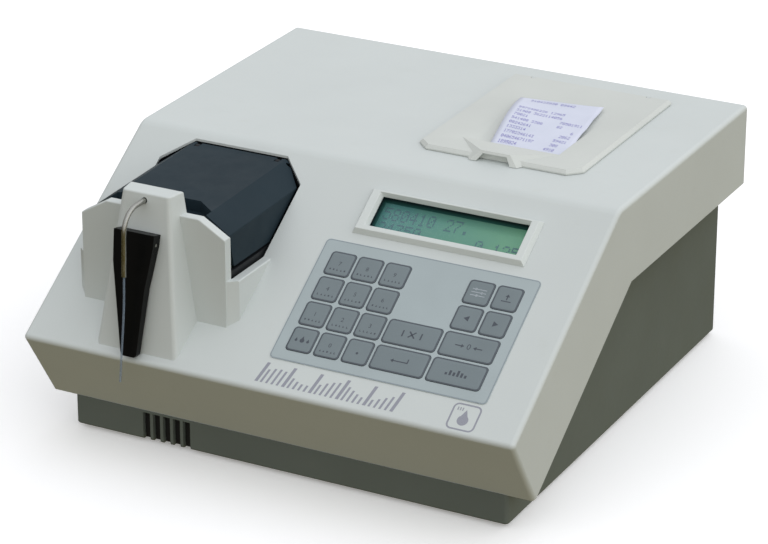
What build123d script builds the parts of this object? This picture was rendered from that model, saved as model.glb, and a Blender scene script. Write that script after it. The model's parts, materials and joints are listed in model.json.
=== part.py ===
from build123d import *
import os
from math import atan2, cos, degrees, hypot, pi, radians, sin, tan

os.makedirs("parts", exist_ok=True)

# A bench-top flow-cell photometer with a keypad, a two-line display and a receipt printer.
# The case frame used below has x to the right, y = 0 at the nose edge and growing rearward, and
# z = 0 at the underside of the base. export() moves every piece so that the origin is at the
# bottom centre of the whole object, between its feet. All sizes are in millimetres.

# ---------------------------------------------------------------- casing, driving dimensions
CASE_WIDTH = 342.0
CASE_DEPTH = 357.0
CASE_TOP = 166.5
WALL = 3.0
NOSE_Z = 69.7                      # height of the front nose edge
BREAK_Y = 148.4                    # where the sloping panel meets the flat top
CHIN = (31.8, 20.2)                # lowest front edge of the upper casing
KNEE = (168.8, 111.4)              # where its lower edge turns level
BASE_WIDTH = 307.2
BASE_FRONT = 31.2
CASE_ROUND = 3.0
BREAK_ROUND = 14.0
FOOT_HEIGHT = 3.0
FOOT_RADIUS = 8.0
FOOT_ROUND = 1.0
FOOT_PLACES = [(-128, 56), (-128, 316), (128, 56), (128, 316)]
VENT_COUNT = 5
VENT_LEFT = -103.1
VENT_PITCH = 7.35
VENT_WIDTH = 5.2
VENT_TOP = 18.8

HALF = CASE_WIDTH / 2
BASE_HALF = BASE_WIDTH / 2
PANEL_RISE = CASE_TOP - NOSE_Z
PANEL_LENGTH = hypot(BREAK_Y, PANEL_RISE)
PANEL_ANGLE = degrees(atan2(PANEL_RISE, BREAK_Y))
PANEL_COS = BREAK_Y / PANEL_LENGTH
PANEL_SLOPE = PANEL_RISE / BREAK_Y
RIM_SLOPE = (KNEE[1] - CHIN[1]) / (KNEE[0] - CHIN[0])

# The panel plane: local x to the right, local y up the slope from the nose, local z outward.
PANEL = Plane(
    origin=(0, 0, NOSE_Z),
    x_dir=(1, 0, 0),
    z_dir=(0, -PANEL_RISE / PANEL_LENGTH, PANEL_COS),
)

# ---------------------------------------------------------------- casing screws
SCREW_PLACES = [(-138, 156), (138, 112), (-138, 335), (138, 335)]
BOSS_JOINT = 12.0                  # height at which the two casings' bosses meet
BOSS_RADIUS = 5.0
SCREW_RADIUS = 1.9
SCREW_HEAD_RADIUS = 3.6
SCREW_HEAD_BASE = 3.0
SCREW_HEAD_HEIGHT = 3.0
SCREW_TIP = 28.0

# ---------------------------------------------------------------- keypad
KEY_COLUMN = 19.1
KEY_ROW = 19.4
KEY_LEFT = 2.6
KEY_TOP_S = 108.3
KEY_GAP = 1.8
KEY_ROUND = 2.5
KEY_EDGE = 0.45
KEY_CROWN = 1.1                    # key top above the panel
KEY_ROOT = -2.0                    # key underside below the panel
KEY_CLEARANCE = 0.2
FOIL_BOX = (-4.2, 24.1, 143.2, 115.8)
FOIL_THICK = 0.5
FOIL_ROUND = 3.0
KEYPAD_BODY_BOX = (-0.8, 27.6, 139.8, 111.7)
KEYPAD_BODY_DEPTH = 2.5
BOARD_THICK = 1.6
BOARD_FACE = -3.2                  # keypad board's upper face below the panel
DOME_RADIUS = 4.0
DOME_HEIGHT = 0.6

# node name: (first column, row, columns wide)
KEYS = {
    "key_7": (0, 0, 1), "key_8": (1, 0, 1), "key_9": (2, 0, 1),
    "key_4": (0, 1, 1), "key_5": (1, 1, 1), "key_6": (2, 1, 1),
    "key_1": (0, 2, 1), "key_2": (1, 2, 1), "key_3": (2, 2, 1),
    "key_wash": (0, 3, 1), "key_0": (1, 3, 1), "key_point": (2, 3, 1),
    "key_mode": (5, 0, 1), "key_line_feed": (6, 0, 1),
    "key_left": (5, 1, 1), "key_right": (6, 1, 1),
    "key_break": (3, 2, 2), "key_zero": (5, 2, 2),
    "key_enter": (3, 3, 2), "key_result": (5, 3, 2),
}

# ---------------------------------------------------------------- display
BEZEL_BOX = (9.0, 123.3, 127.8, 158.2)
BEZEL_HEIGHT = 3.5
BEZEL_BEVEL = 2.2
BEZEL_MOUTH = (16.5, 128.8, 121.0, 155.0)
BEZEL_SIGHT = (18.3, 130.3, 119.6, 153.6)
BEZEL_SILL = 0.5
BEZEL_COLLAR = 1.5                 # depth of the collar that centres the bezel in the casing
FRAME_BOX = (15.0, 127.5, 122.5, 156.2)
WINDOW_FACE = -6.0                 # window's upper face, below the panel surface
WINDOW_THICK = 1.0
WINDOW_LAP = 1.2                   # how far the window reaches under the display's frame
LCD_GLASS = 2.5
LCD_BOX = (12.5, 125.5, 124.5, 157.0)
LCD_DEPTH = 6.0                    # carrier below the display's glass
PANEL_WINDOW = (14.0, 126.5, 123.5, 157.0)

# ---------------------------------------------------------------- measuring bay
BAY_X = -92.0                      # middle of the measuring bay
BAY_HALF = 52.0
BAY_REAR_HALF = 34.0
BAY_FRONT = 38.4
BAY_CHAMFER_Y = 126.5
BAY_REAR = 142.4
RIM_TOP = 120.6
RIM_THICK = 5.5
WING_FRONT = 31.6
WING_HALF = 51.5
WING_TOP_HALF = 33.2
WING_TOP = 159.0
WING_SHOULDER = 148.3

# ---------------------------------------------------------------- hood over the bay
HOOD_HALF = 50.0
HOOD_TOP_HALF = 34.0
HOOD_TOP = 161.0
HOOD_SHOULDER = 150.0
HOOD_BOTTOM = 126.3
HOOD_FRONT = 39.5
HOOD_FRONT_FOOT = 44.8
HOOD_FRONT_TURN = 149.0
HOOD_REAR = 140.2
HOOD_TILT = 1.0                    # degrees by which the hood's top falls towards its front
HOOD_WALL = 2.5
HOOD_SINK = 1.2                    # hood's rear rim below the panel surface
HOOD_PIN = (137.5, 158.6)
HOOD_PIN_RADIUS = 1.25
KNUCKLE_RADIUS = 2.4
RUNNING_CLEARANCE = 0.05
HINGE_EAR = 2.8
EAR_INSET = 3.1                    # from the edge of the hood's flat top to the outside of an ear
EAR_GAP = 0.4
NOTCH_DEPTH = 9.0
NOTCH_REAR = 57.0
NOTCH_TURN = 46.0
NOTCH_REAR_HALF = 20.0

# ---------------------------------------------------------------- chamber tray and optics
TRAY_HALF = 50.5
TRAY_FRONT = 40.0
TRAY_REAR = 143.0
TRAY_FLOOR = 58.0
TRAY_TOP = 124.5
TRAY_WALL = 2.5
BEAM = (90.0, 92.0)                # y and z of the light path, which runs along x
WHEEL_OFFSET = 17.0
WHEEL_X = -110.0
WHEEL_RADIUS = 23.0
WHEEL_THICK = 4.0
FILTER_COUNT = 8
FILTER_RADIUS = 4.5
WHEEL_SHAFT_RADIUS = 1.5
CELL_SIZE = 12.5
CELL_X = -93.5

# ---------------------------------------------------------------- sipper tower
TOWER_FOOT_Z = 71.0
TOWER_TOP = 172.5
TOWER_LEAN = 0.195                 # rearward lean of the front face for each unit of height
TOWER_FRONT = 5.7                  # y of the front face at TOWER_DATUM_Z
TOWER_DATUM_Z = 73.0
TOWER_ROUND = 3.0
TOWER_TOP_ROUND = 1.2

# The tower face: local x to the right, local y up the face, local z outward.
TOWER_LEAN_ANGLE = degrees(atan2(TOWER_LEAN, 1))
TOWER_FACE = Plane(
    origin=(0, TOWER_FRONT, TOWER_DATUM_Z),
    x_dir=(1, 0, 0),
    z_dir=(0, -cos(radians(TOWER_LEAN_ANGLE)), sin(radians(TOWER_LEAN_ANGLE))),
)

# ---------------------------------------------------------------- sipper lever and switch
LEVER_TRAVEL = 2.1                 # degrees from rest to fully pressed
LEVER_TOP = 77.7
LEVER_BOTTOM = -1.0
LEVER_CLEARANCE = 0.4              # between the pressed lever's foot and the panel
LEVER_BACK = 0.35
LEVER_THICK_TOP = 8.0
LEVER_THICK_BOTTOM = 5.0
# Front view of the lever on the tower face, from its top left corner round its foot.
LEVER_OUTLINE = [
    (-108.2, LEVER_TOP),
    (-107.2, 58.0),
    (-97.2, LEVER_BOTTOM + 2),
    (-95.6, LEVER_BOTTOM),
    (-87.4, LEVER_BOTTOM),
    (-85.8, LEVER_BOTTOM + 2),
    (-83.4, 43.0),
    (-81.2, 57.8),
    (-79.4, 71.5),
    (-79.3, LEVER_TOP),
]
LEVER_PIN = (71.3, 4.2)            # up the tower face, and out from it
LEVER_PIN_RADIUS = 1.0
LUG_X = (-98.0, -90.0)
SWITCH_T = 37.7
PLUNGER_RADIUS = 1.6
PLUNGER_GAP = 0.12

# ---------------------------------------------------------------- sipper tube and capillary
TUBE_X = -92.7
TUBE_RADIUS = 1.6
TUBE_BORE = 0.9
TUBE_HOLE_RADIUS = 2.0
TUBE_PATH = [(TUBE_X, 31.0, 167.9), (TUBE_X, 0.6, 167.9), (TUBE_X, -1.9, 127.0)]
TUBE_BEND = 14.0
CAPILLARY_RADIUS = 0.7
CAPILLARY_ROUTE = [
    (-92.7, -1.9, 127.0),
    (-92.6, -2.7, 112.0),
    (-92.8, -4.3, 96.0),
    (-93.2, -6.5, 78.5),
    (-93.9, -8.3, 58.5),
]

# ---------------------------------------------------------------- printer
COVER_X = (10.6, 126.0)
COVER_Y = (184.6, 332.5)
COVER_CHAMFER = (8.5, 8.5)
COVER_GAP = 0.3
COVER_THICK = 3.0
COVER_BEVEL = 2.0
COVER_MID = (COVER_X[0] + COVER_X[1]) / 2
SNOUT_RISE = 3.4
SNOUT_FOOT_HALF = 16.8
SNOUT_LIP_HALF = 10.2
SNOUT_FOOT_Y = 181.0
SNOUT_LIP_Y = 185.0
GRIP_FOOT_HALF = 12.6              # the finger opening under the lip, at its bottom
GRIP_TOP_HALF = 8.3
GRIP_LIP = 1.6                     # thickness of the lip over the finger opening
GRIP_DEPTH = 7.0
POCKET_HALF = 33.8
POCKET_FLOOR_HALF = 22.0
POCKET_FLOOR_SHIFT = 8.0           # how much further right the floor reaches than it does left
POCKET_FRONT = 207.5
POCKET_REAR = 268.0
POCKET_DEPTH = 4.0
SLOT_WIDTH = 1.6
COVER_PIN_Y = 331.0
COVER_PIN_RADIUS = 0.7
COVER_EAR_X = 42.0                 # from the middle of the cover to each hinge eye
COVER_EAR_HALF = 1.2
PRINTER_OPENING = (27.0, 193.0, 109.6, 325.0)
ROLL_CENTRE = (268.0, 137.0)
ROLL_RADIUS = 21.0
ROLL_WIDTH = 57.0
CORE_RADIUS = 6.0
PLATEN_CENTRE = (213.0, 149.0)
PLATEN_RADIUS = 5.0
PAPER_WIDTH = 57.0
PAPER_THICK = 0.25
PAPER_SHIFT = 3.0
PAPER_FOOT = 8.0                   # lower end of the slip, below the cover's flat top
PAPER_BEND_DEPTH = 5.3             # where it starts to bend rearward, below the same top
PAPER_BEND = 3.0
PAPER_BEND_TURN = 81.5
PAPER_RUN = 40.0
PAPER_SAG = 200.0
PAPER_SAG_TURN = 10.5

# ---------------------------------------------------------------- rear fittings
INLET_CENTRE = (96.0, 34.0)
INLET_FLANGE = (70.0, 32.0)
INLET_BODY = (62.0, 26.0)
SOCKET_SIZE = (27.0, 19.5)
SOCKET_X = 80.5
ROCKER_X = 112.5
ROCKER_WINDOW = (22.0, 15.0)
ROCKER_TILT = 9.0
PORT_CENTRE = (38.0, 34.0)
NOZZLE_CENTRE = (-100.0, 40.0)
NOZZLE_REACH = 10.0
FLANGE_THICK = 2.5

# ---------------------------------------------------------------- sample pump and main board
PUMP = (-100.0, 215.0, 62.0)       # centre of the pump head, whose axis runs along y
PUMP_RADIUS = 27.0
PUMP_TRACK = 22.0
PUMP_DEPTH = 18.0
PUMP_ROLLERS = 3
PUMP_ROLLER_RADIUS = 5.0
PUMP_ROLLER_ORBIT = 13.0
PUMP_SHAFT_RADIUS = 2.0
PUMP_MOTOR_RADIUS = 15.0
PUMP_MOTOR_LENGTH = 34.0
BOARD_BOX = (-40.0, 60.0, 128.0, 300.0)
BOARD_HEIGHT = 14.0
# main board component: (x, y, width, depth, height)
BOARD_PARTS = {
    "display driver": (0, 100, 40, 12, 4),
    "processor": (60, 100, 36, 36, 4),
    "memory": (0, 160, 30, 10, 4),
    "relay": (90, 170, 14, 24, 12),
    "transformer": (50, 230, 60, 50, 42),
    "capacitor": (-15, 240, 12, 12, 25),
    "heat sink": (106, 240, 24, 40, 22),
}

FRONT_REACH = TUBE_PATH[-1][1] - TUBE_RADIUS      # foremost point: the sipper tube's front
REAR_REACH = CASE_DEPTH + NOZZLE_REACH
ORIGIN_Y = (FRONT_REACH + REAR_REACH) / 2


# ================================================================ helpers
def prism_x(points, x_low, x_high):
    """A solid with a side profile of (y, z) points, from x_low to x_high."""
    face = make_face(Polyline(*points, close=True))
    return Pos(x_low, 0, 0) * extrude(Plane.YZ * face, amount=x_high - x_low)


def prism_z(points, z_low, z_high):
    """A solid with a plan of (x, y) points, from z_low to z_high."""
    face = make_face(Polyline(*points, close=True))
    return Pos(0, 0, z_low) * extrude(face, amount=z_high - z_low)


def block(low, high):
    """A box between two corners."""
    size = [b - a for a, b in zip(low, high)]
    middle = [(a + b) / 2 for a, b in zip(low, high)]
    return Pos(*middle) * Box(*size)


def slab(box, low, high):
    """A box in panel coordinates: box is (x, s, x, s), low and high are heights."""
    return block((box[0], box[1], low), (box[2], box[3], high))


def rod_x(radius, x_low, x_high, y, z):
    """A cylinder along x."""
    return Pos((x_low + x_high) / 2, y, z) * Rot(0, 90, 0) * Cylinder(radius, x_high - x_low)


def rod_y(radius, y_low, y_high, x, z):
    """A cylinder along y."""
    return Pos(x, (y_low + y_high) / 2, z) * Rot(90, 0, 0) * Cylinder(radius, y_high - y_low)


def rod_z(radius, z_low, z_high, x, y):
    """A cylinder along z."""
    return Pos(x, y, (z_low + z_high) / 2) * Cylinder(radius, z_high - z_low)


def flat_face(points, z):
    """A flat face through (x, y) points at height z."""
    return Pos(0, 0, z) * make_face(Polyline(*points, close=True))


def polyhedron(corners, faces):
    """A solid from named corners and the loops of corner names that bound its faces."""
    sides = [Face(Wire.make_polygon([corners[name] for name in loop], close=True)) for loop in faces]
    return Solid(Shell(sides))


def rim_z(y):
    """Height of the upper casing's lower edge."""
    return CHIN[1] + (y - CHIN[0]) * RIM_SLOPE


def panel_z(y, depth=0.0):
    """Height of the panel at y, at a depth below its surface."""
    return NOSE_Z + PANEL_SLOPE * y - depth / PANEL_COS


# ================================================================ casing
def upper_outline():
    return [
        (0, NOSE_Z),
        (BREAK_Y, CASE_TOP),
        (CASE_DEPTH, CASE_TOP),
        (CASE_DEPTH, KNEE[1]),
        KNEE,
        CHIN,
    ]


def rounded_upper_prism():
    body = prism_x(upper_outline(), -HALF, HALF)
    crossing = body.edges().filter_by(Axis.X)
    crease = [e for e in crossing if abs(e.center().Y - BREAK_Y) < 1]
    body = fillet(crease, BREAK_ROUND)
    outer = []
    for edge in body.edges():
        centre = edge.center()
        low = centre.Z < rim_z(min(centre.Y, KNEE[0])) + 1
        if low:
            continue
        on_side = abs(abs(centre.X) - HALF) < 0.01
        nose = abs(centre.Y) < 0.01 and abs(centre.Z - NOSE_Z) < 0.01
        rear_top = abs(centre.Y - CASE_DEPTH) < 0.01 and abs(centre.Z - CASE_TOP) < 0.01
        if on_side or nose or rear_top:
            outer.append(edge)
    return fillet(outer, CASE_ROUND)


def upper_cavity():
    face = make_face(Polyline(*upper_outline(), close=True))
    inner = offset(face, amount=-WALL, kind=Kind.INTERSECTION)
    cavity = Pos(-HALF + WALL, 0, 0) * extrude(Plane.YZ * inner, amount=CASE_WIDTH - 2 * WALL)
    front = BASE_FRONT + WALL
    rear = CASE_DEPTH - WALL
    mouth = [
        (front, rim_z(front) - 4),
        (front, rim_z(front) + 6),
        (KNEE[0] - 4, KNEE[1] + 5),
        (rear, KNEE[1] + 5),
        (rear, KNEE[1] - 4),
        (KNEE[0], KNEE[1] - 4),
    ]
    return cavity + prism_x(mouth, -BASE_HALF + WALL, BASE_HALF - WALL)


def tower_plan(z, inset=0.0):
    """The tower's four plan corners at height z, front left first."""
    drop = TOWER_TOP - z
    front = TOWER_FRONT + TOWER_LEAN * (z - TOWER_DATUM_Z) + inset
    rear = BAY_FRONT - inset
    return [
        (-109.0 - 0.105 * drop + inset, front),
        (-75.5 + 0.138 * drop - inset, front),
        (-73.3 + 0.151 * drop - inset, rear),
        (-111.0 - 0.130 * drop + inset, rear),
    ]


def tower_block():
    solid = loft([flat_face(tower_plan(TOWER_FOOT_Z), TOWER_FOOT_Z),
                  flat_face(tower_plan(TOWER_TOP), TOWER_TOP)], ruled=True)
    rising = [e for e in solid.edges() if abs(e.tangent_at(0.5).Z) > 0.5 and e.center().Y < 25]
    solid = fillet(rising, TOWER_ROUND)
    return fillet(solid.faces().sort_by(Axis.Z)[-1].edges(), TOWER_TOP_ROUND)


def tower_hollow():
    top = TOWER_TOP - WALL
    low = TOWER_FOOT_Z + 2
    return loft([flat_face(tower_plan(low, WALL), low),
                 flat_face(tower_plan(top, WALL), top)], ruled=True)


def wing_plate():
    face = make_face(Polyline(
        (BAY_X - WING_HALF, 60), (BAY_X + WING_HALF, 60),
        (BAY_X + WING_HALF, WING_SHOULDER), (BAY_X + WING_TOP_HALF, WING_TOP),
        (BAY_X - WING_TOP_HALF, WING_TOP), (BAY_X - WING_HALF, WING_SHOULDER), close=True))
    plate = extrude(Plane.XZ * face, amount=-(BAY_FRONT - WING_FRONT))
    plate = Pos(0, WING_FRONT, 0) * plate
    upper = [e for e in plate.edges() if e.center().Z > WING_SHOULDER - 30]
    return fillet(upper, 0.8)


def rim_wall(side):
    """One side wall of the bay rim; side is +1 for the right wall and -1 for the left."""
    inner = BAY_X + side * BAY_HALF
    outer = inner + side * RIM_THICK
    wing_edge = BAY_X + side * WING_HALF
    rear = (RIM_TOP - NOSE_Z) / PANEL_SLOPE + 4
    plan = [
        (wing_edge - side, BAY_FRONT - 2),
        (wing_edge, WING_FRONT + 0.6),
        (outer, WING_FRONT + 6.2),
        (outer, rear),
        (inner, rear),
        (inner, BAY_FRONT),
        (wing_edge - side, BAY_FRONT),
    ]
    wall = prism_z(plan, 60, RIM_TOP)
    crest = [e for e in wall.faces().sort_by(Axis.Z)[-1].edges() if abs(e.center().X - outer) < 0.1]
    return fillet(crest, 1.0)


def bay_plan():
    left = BAY_X - BAY_HALF
    right = BAY_X + BAY_HALF
    return [
        (left, BAY_FRONT),
        (right, BAY_FRONT),
        (right, BAY_CHAMFER_Y),
        (BAY_X + BAY_REAR_HALF, BAY_REAR),
        (BAY_X - BAY_REAR_HALF, BAY_REAR),
        (left, BAY_CHAMFER_Y),
    ]


def lever_lug():
    lug = block((LUG_X[0], 67.0, -1.5), (LUG_X[1], 75.6, 6.6))
    crest = [e for e in lug.edges().filter_by(Axis.X) if e.center().Z > 5]
    return TOWER_FACE * fillet(crest, 2.2)


def printer_ears():
    """Two small eyes behind the printer opening that carry the cover's hinge pin."""
    centre = CASE_TOP + COVER_GAP + COVER_THICK / 2
    half = COVER_EAR_HALF
    ears = []
    for x in (COVER_MID - COVER_EAR_X, COVER_MID + COVER_EAR_X):
        eye = rod_x(COVER_THICK / 2, x - half, x + half, COVER_PIN_Y, centre)
        post = block((x - half, COVER_PIN_Y - 1.5, CASE_TOP - 1), (x + half, COVER_PIN_Y + 1.5, centre))
        ears.append(eye + post)
    return ears


def upper_casing():
    body = rounded_upper_prism()
    body += [tower_block(), wing_plate(), rim_wall(1), rim_wall(-1), lever_lug()]
    body += printer_ears()
    body -= upper_cavity()
    body -= tower_hollow()
    body -= prism_z(bay_plan(), 62, HOOD_TOP + 8)
    body -= PANEL * slab(PANEL_WINDOW, -10, 5)
    body -= PANEL * slab(KEYPAD_BODY_BOX, -10, 5)
    body -= block((PRINTER_OPENING[0], PRINTER_OPENING[1], CASE_TOP - 8),
                  (PRINTER_OPENING[2], PRINTER_OPENING[3], CASE_TOP + 4))
    body -= rod_y(TUBE_HOLE_RADIUS, 15, 33, TUBE_X, TUBE_PATH[0][2])
    body -= TOWER_FACE * Pos(BAY_X, SWITCH_T, 0) * Cylinder(PLUNGER_RADIUS + 0.4, 12)
    body -= TOWER_FACE * rod_x(LEVER_PIN_RADIUS, LUG_X[0] - 1, LUG_X[1] + 1, *LEVER_PIN)
    ear_centre = CASE_TOP + COVER_GAP + COVER_THICK / 2
    body -= rod_x(COVER_PIN_RADIUS, COVER_MID - 50, COVER_MID + 50, COVER_PIN_Y, ear_centre)
    for x, y in SCREW_PLACES:
        ceiling = CASE_TOP - 1 if y > BREAK_Y else panel_z(y - BOSS_RADIUS, 1)
        boss = rod_z(BOSS_RADIUS, BOSS_JOINT, ceiling, x, y)
        body += boss
        body -= rod_z(SCREW_RADIUS, BOSS_JOINT - 1, SCREW_TIP + 2, x, y)
    return body


def lower_casing():
    outline = [
        (BASE_FRONT, 0),
        (CASE_DEPTH, 0),
        (CASE_DEPTH, KNEE[1]),
        KNEE,
        CHIN,
        (BASE_FRONT, CHIN[1]),
    ]
    body = prism_x(outline, -BASE_HALF, BASE_HALF)
    corners = [e for e in body.edges().filter_by(Axis.Z) if e.center().Z < 60]
    body = fillet(corners, CASE_ROUND)
    body = fillet(body.faces().sort_by(Axis.Z)[0].edges(), 1.5)
    hollow = [
        (BASE_FRONT + WALL, WALL),
        (CASE_DEPTH - WALL, WALL),
        (CASE_DEPTH - WALL, KNEE[1] + 5),
        (KNEE[0], KNEE[1] + 5),
        (BASE_FRONT + WALL, CHIN[1] + 5),
    ]
    body -= prism_x(hollow, -BASE_HALF + WALL, BASE_HALF - WALL)
    for number in range(VENT_COUNT):
        left = VENT_LEFT + number * VENT_PITCH
        right = left + VENT_WIDTH
        body -= block((left, BASE_FRONT - 1, -1), (right, BASE_FRONT + WALL + 1, VENT_TOP))
    for x, y in SCREW_PLACES:
        body += rod_z(BOSS_RADIUS + 1, WALL - 1, BOSS_JOINT, x, y)
        body -= rod_z(SCREW_HEAD_RADIUS + 0.4, -1, SCREW_HEAD_BASE + SCREW_HEAD_HEIGHT, x, y)
        body -= rod_z(SCREW_RADIUS + 0.2, 0, BOSS_JOINT + 1, x, y)
    body -= rear_hole(INLET_CENTRE, INLET_BODY)
    body -= rear_hole(PORT_CENTRE, (27.0, 12.0))
    body -= rod_y(4.0, CASE_DEPTH - WALL - 1, CASE_DEPTH + 1, *NOZZLE_CENTRE)
    return body


def rear_hole(centre, size):
    return block((centre[0] - size[0] / 2, CASE_DEPTH - WALL - 1, centre[1] - size[1] / 2),
                 (centre[0] + size[0] / 2, CASE_DEPTH + 1, centre[1] + size[1] / 2))


def casing_screws():
    screws = []
    for x, y in SCREW_PLACES:
        head_top = SCREW_HEAD_BASE + SCREW_HEAD_HEIGHT
        head = rod_z(SCREW_HEAD_RADIUS, SCREW_HEAD_BASE, head_top, x, y)
        cross = Box(4.0, 0.9, 2.4) + Box(0.9, 4.0, 2.4)
        shank = rod_z(SCREW_RADIUS, head_top - 1, SCREW_TIP, x, y)
        screws.append(head + shank - Pos(x, y, SCREW_HEAD_BASE) * cross)
    return screws


def rubber_feet():
    feet = []
    for x, y in FOOT_PLACES:
        foot = rod_z(FOOT_RADIUS, -FOOT_HEIGHT, 0, x, y)
        feet.append(fillet(foot.faces().sort_by(Axis.Z)[0].edges(), FOOT_ROUND))
    return feet


# ================================================================ keypad
def key_centre(column, row, span):
    x = KEY_LEFT + KEY_COLUMN * (column + span / 2)
    s = KEY_TOP_S - KEY_ROW * (row + 0.5)
    return x, s


def key_size(span):
    return KEY_COLUMN * span - KEY_GAP, KEY_ROW - KEY_GAP


def key(column, row, span):
    width, height = key_size(span)
    cap = extrude(RectangleRounded(width, height, KEY_ROUND), amount=KEY_CROWN - KEY_ROOT)
    cap = fillet(cap.faces().sort_by(Axis.Z)[-1].edges(), KEY_EDGE)
    return PANEL * Pos(*key_centre(column, row, span), KEY_ROOT) * cap


def box_centre(box):
    return (box[0] + box[2]) / 2, (box[1] + box[3]) / 2


def keypad_foil():
    width = FOIL_BOX[2] - FOIL_BOX[0]
    height = FOIL_BOX[3] - FOIL_BOX[1]
    sheet = extrude(RectangleRounded(width, height, FOIL_ROUND), amount=FOIL_THICK)
    body = Pos(*box_centre(FOIL_BOX), 0) * sheet
    inner = tuple(v + d for v, d in zip(KEYPAD_BODY_BOX, (0.2, 0.2, -0.2, -0.2)))
    body += slab(inner, -KEYPAD_BODY_DEPTH, 0)
    for column, row, span in KEYS.values():
        width, height = key_size(span)
        hole = extrude(RectangleRounded(width + 2 * KEY_CLEARANCE, height + 2 * KEY_CLEARANCE,
                                        KEY_ROUND + KEY_CLEARANCE), amount=8)
        body -= Pos(*key_centre(column, row, span), -6) * hole
    return PANEL * body


def keypad_board():
    board = slab(FOIL_BOX, BOARD_FACE - BOARD_THICK, BOARD_FACE)
    for column, row, span in KEYS.values():
        dome = Cylinder(DOME_RADIUS, DOME_HEIGHT * 2)
        board += Pos(*key_centre(column, row, span), BOARD_FACE) * dome
    return PANEL * board


# ================================================================ display
def display_bezel():
    x, s = box_centre(BEZEL_BOX)
    width = BEZEL_BOX[2] - BEZEL_BOX[0]
    height = BEZEL_BOX[3] - BEZEL_BOX[1]
    rise = BEZEL_HEIGHT
    lower = Pos(x, s, 0) * Rectangle(width, height)
    upper = Pos(x, s, rise) * Rectangle(width - 2 * BEZEL_BEVEL, height - 2 * BEZEL_BEVEL)
    frame = loft([lower, upper], ruled=True)
    sight_x, sight_s = box_centre(BEZEL_SIGHT)
    mouth_x, mouth_s = box_centre(BEZEL_MOUTH)
    sight = Pos(sight_x, sight_s, BEZEL_SILL) * Rectangle(
        BEZEL_SIGHT[2] - BEZEL_SIGHT[0], BEZEL_SIGHT[3] - BEZEL_SIGHT[1])
    mouth = Pos(mouth_x, mouth_s, rise) * Rectangle(
        BEZEL_MOUTH[2] - BEZEL_MOUTH[0], BEZEL_MOUTH[3] - BEZEL_MOUTH[1])
    frame -= loft([sight, mouth], ruled=True)
    frame -= slab(BEZEL_SIGHT, -1, BEZEL_SILL + 0.1)
    inner = tuple(v + d for v, d in zip(PANEL_WINDOW, (0.2, 0.2, -0.2, -0.2)))
    frame += slab(inner, -BEZEL_COLLAR, 0) - slab(FRAME_BOX, -BEZEL_COLLAR - 1, 1)
    return PANEL * frame


def window_box():
    return tuple(v + d * WINDOW_LAP for v, d in zip(BEZEL_SIGHT, (-1, -1, 1, 1)))


def display_window():
    return PANEL * slab(window_box(), WINDOW_FACE - WINDOW_THICK, WINDOW_FACE)


def lcd_module():
    """The display's glass on its carrier, inside a raised frame that reaches up to the bezel."""
    top = WINDOW_FACE - WINDOW_THICK
    module = slab(FRAME_BOX, top - LCD_GLASS, 0)
    module -= slab(BEZEL_SIGHT, top, 1)
    module -= slab(window_box(), top, WINDOW_FACE)
    carrier = slab(LCD_BOX, top - LCD_GLASS - LCD_DEPTH, top - LCD_GLASS)
    return PANEL * (module + carrier)


# ================================================================ hood and chamber
def hood_section(inset):
    half = HOOD_HALF - inset
    top = HOOD_TOP - inset
    corner = inset * 0.45
    return [
        (BAY_X - half, HOOD_BOTTOM - 10),
        (BAY_X + half, HOOD_BOTTOM - 10),
        (BAY_X + half, HOOD_SHOULDER - corner),
        (BAY_X + HOOD_TOP_HALF - corner, top),
        (BAY_X - HOOD_TOP_HALF + corner, top),
        (BAY_X - half, HOOD_SHOULDER - corner),
    ]


def hood_prism(inset, front, rear):
    """The hood's section run from front to rear, tilted about its rear top edge."""
    face = make_face(Polyline(*hood_section(inset), close=True))
    level = Pos(0, front, 0) * extrude(Plane.XZ * face, amount=-(rear - front))
    return Pos(0, HOOD_REAR, HOOD_TOP) * Rot(HOOD_TILT, 0, 0) * Pos(0, -HOOD_REAR, -HOOD_TOP) * level


def hood_envelope():
    """The hood's outside: above its level rim and above the sloping rear rim."""
    front = [
        (HOOD_FRONT - 20, HOOD_BOTTOM - 20),
        (HOOD_FRONT_FOOT, HOOD_BOTTOM - 20),
        (HOOD_FRONT_FOOT, HOOD_BOTTOM),
        (HOOD_FRONT, HOOD_FRONT_TURN),
        (HOOD_FRONT - 20, HOOD_FRONT_TURN),
    ]
    solid = hood_prism(0, HOOD_FRONT, HOOD_REAR)
    lengthways = [e for e in solid.edges() if abs(e.tangent_at(0.5).Y) > 0.9]
    ridges = [e for e in lengthways if e.center().Z > HOOD_SHOULDER - 3]
    solid = fillet(ridges, 1.2)
    solid -= prism_x(front, BAY_X - 60, BAY_X + 60)
    solid -= block((BAY_X - 60, 0, 0), (BAY_X + 60, 200, HOOD_BOTTOM))
    return solid - PANEL * slab((BAY_X - 60, -20, BAY_X + 60, 260), -150, -HOOD_SINK)


def hood_notch_plan(grow):
    half = HOOD_TOP_HALF + grow
    rear_half = NOTCH_REAR_HALF + grow
    return [
        (BAY_X - half, HOOD_FRONT - 1),
        (BAY_X + half, HOOD_FRONT - 1),
        (BAY_X + half, NOTCH_TURN + grow),
        (BAY_X + rear_half, NOTCH_REAR + grow),
        (BAY_X - rear_half, NOTCH_REAR + grow),
        (BAY_X - half, NOTCH_TURN + grow),
    ]


def hood_ear_span():
    """How far the inside and the outside of each hinge ear are from the bay's middle."""
    outer = HOOD_TOP_HALF - EAR_INSET
    return outer - HINGE_EAR, outer


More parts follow.
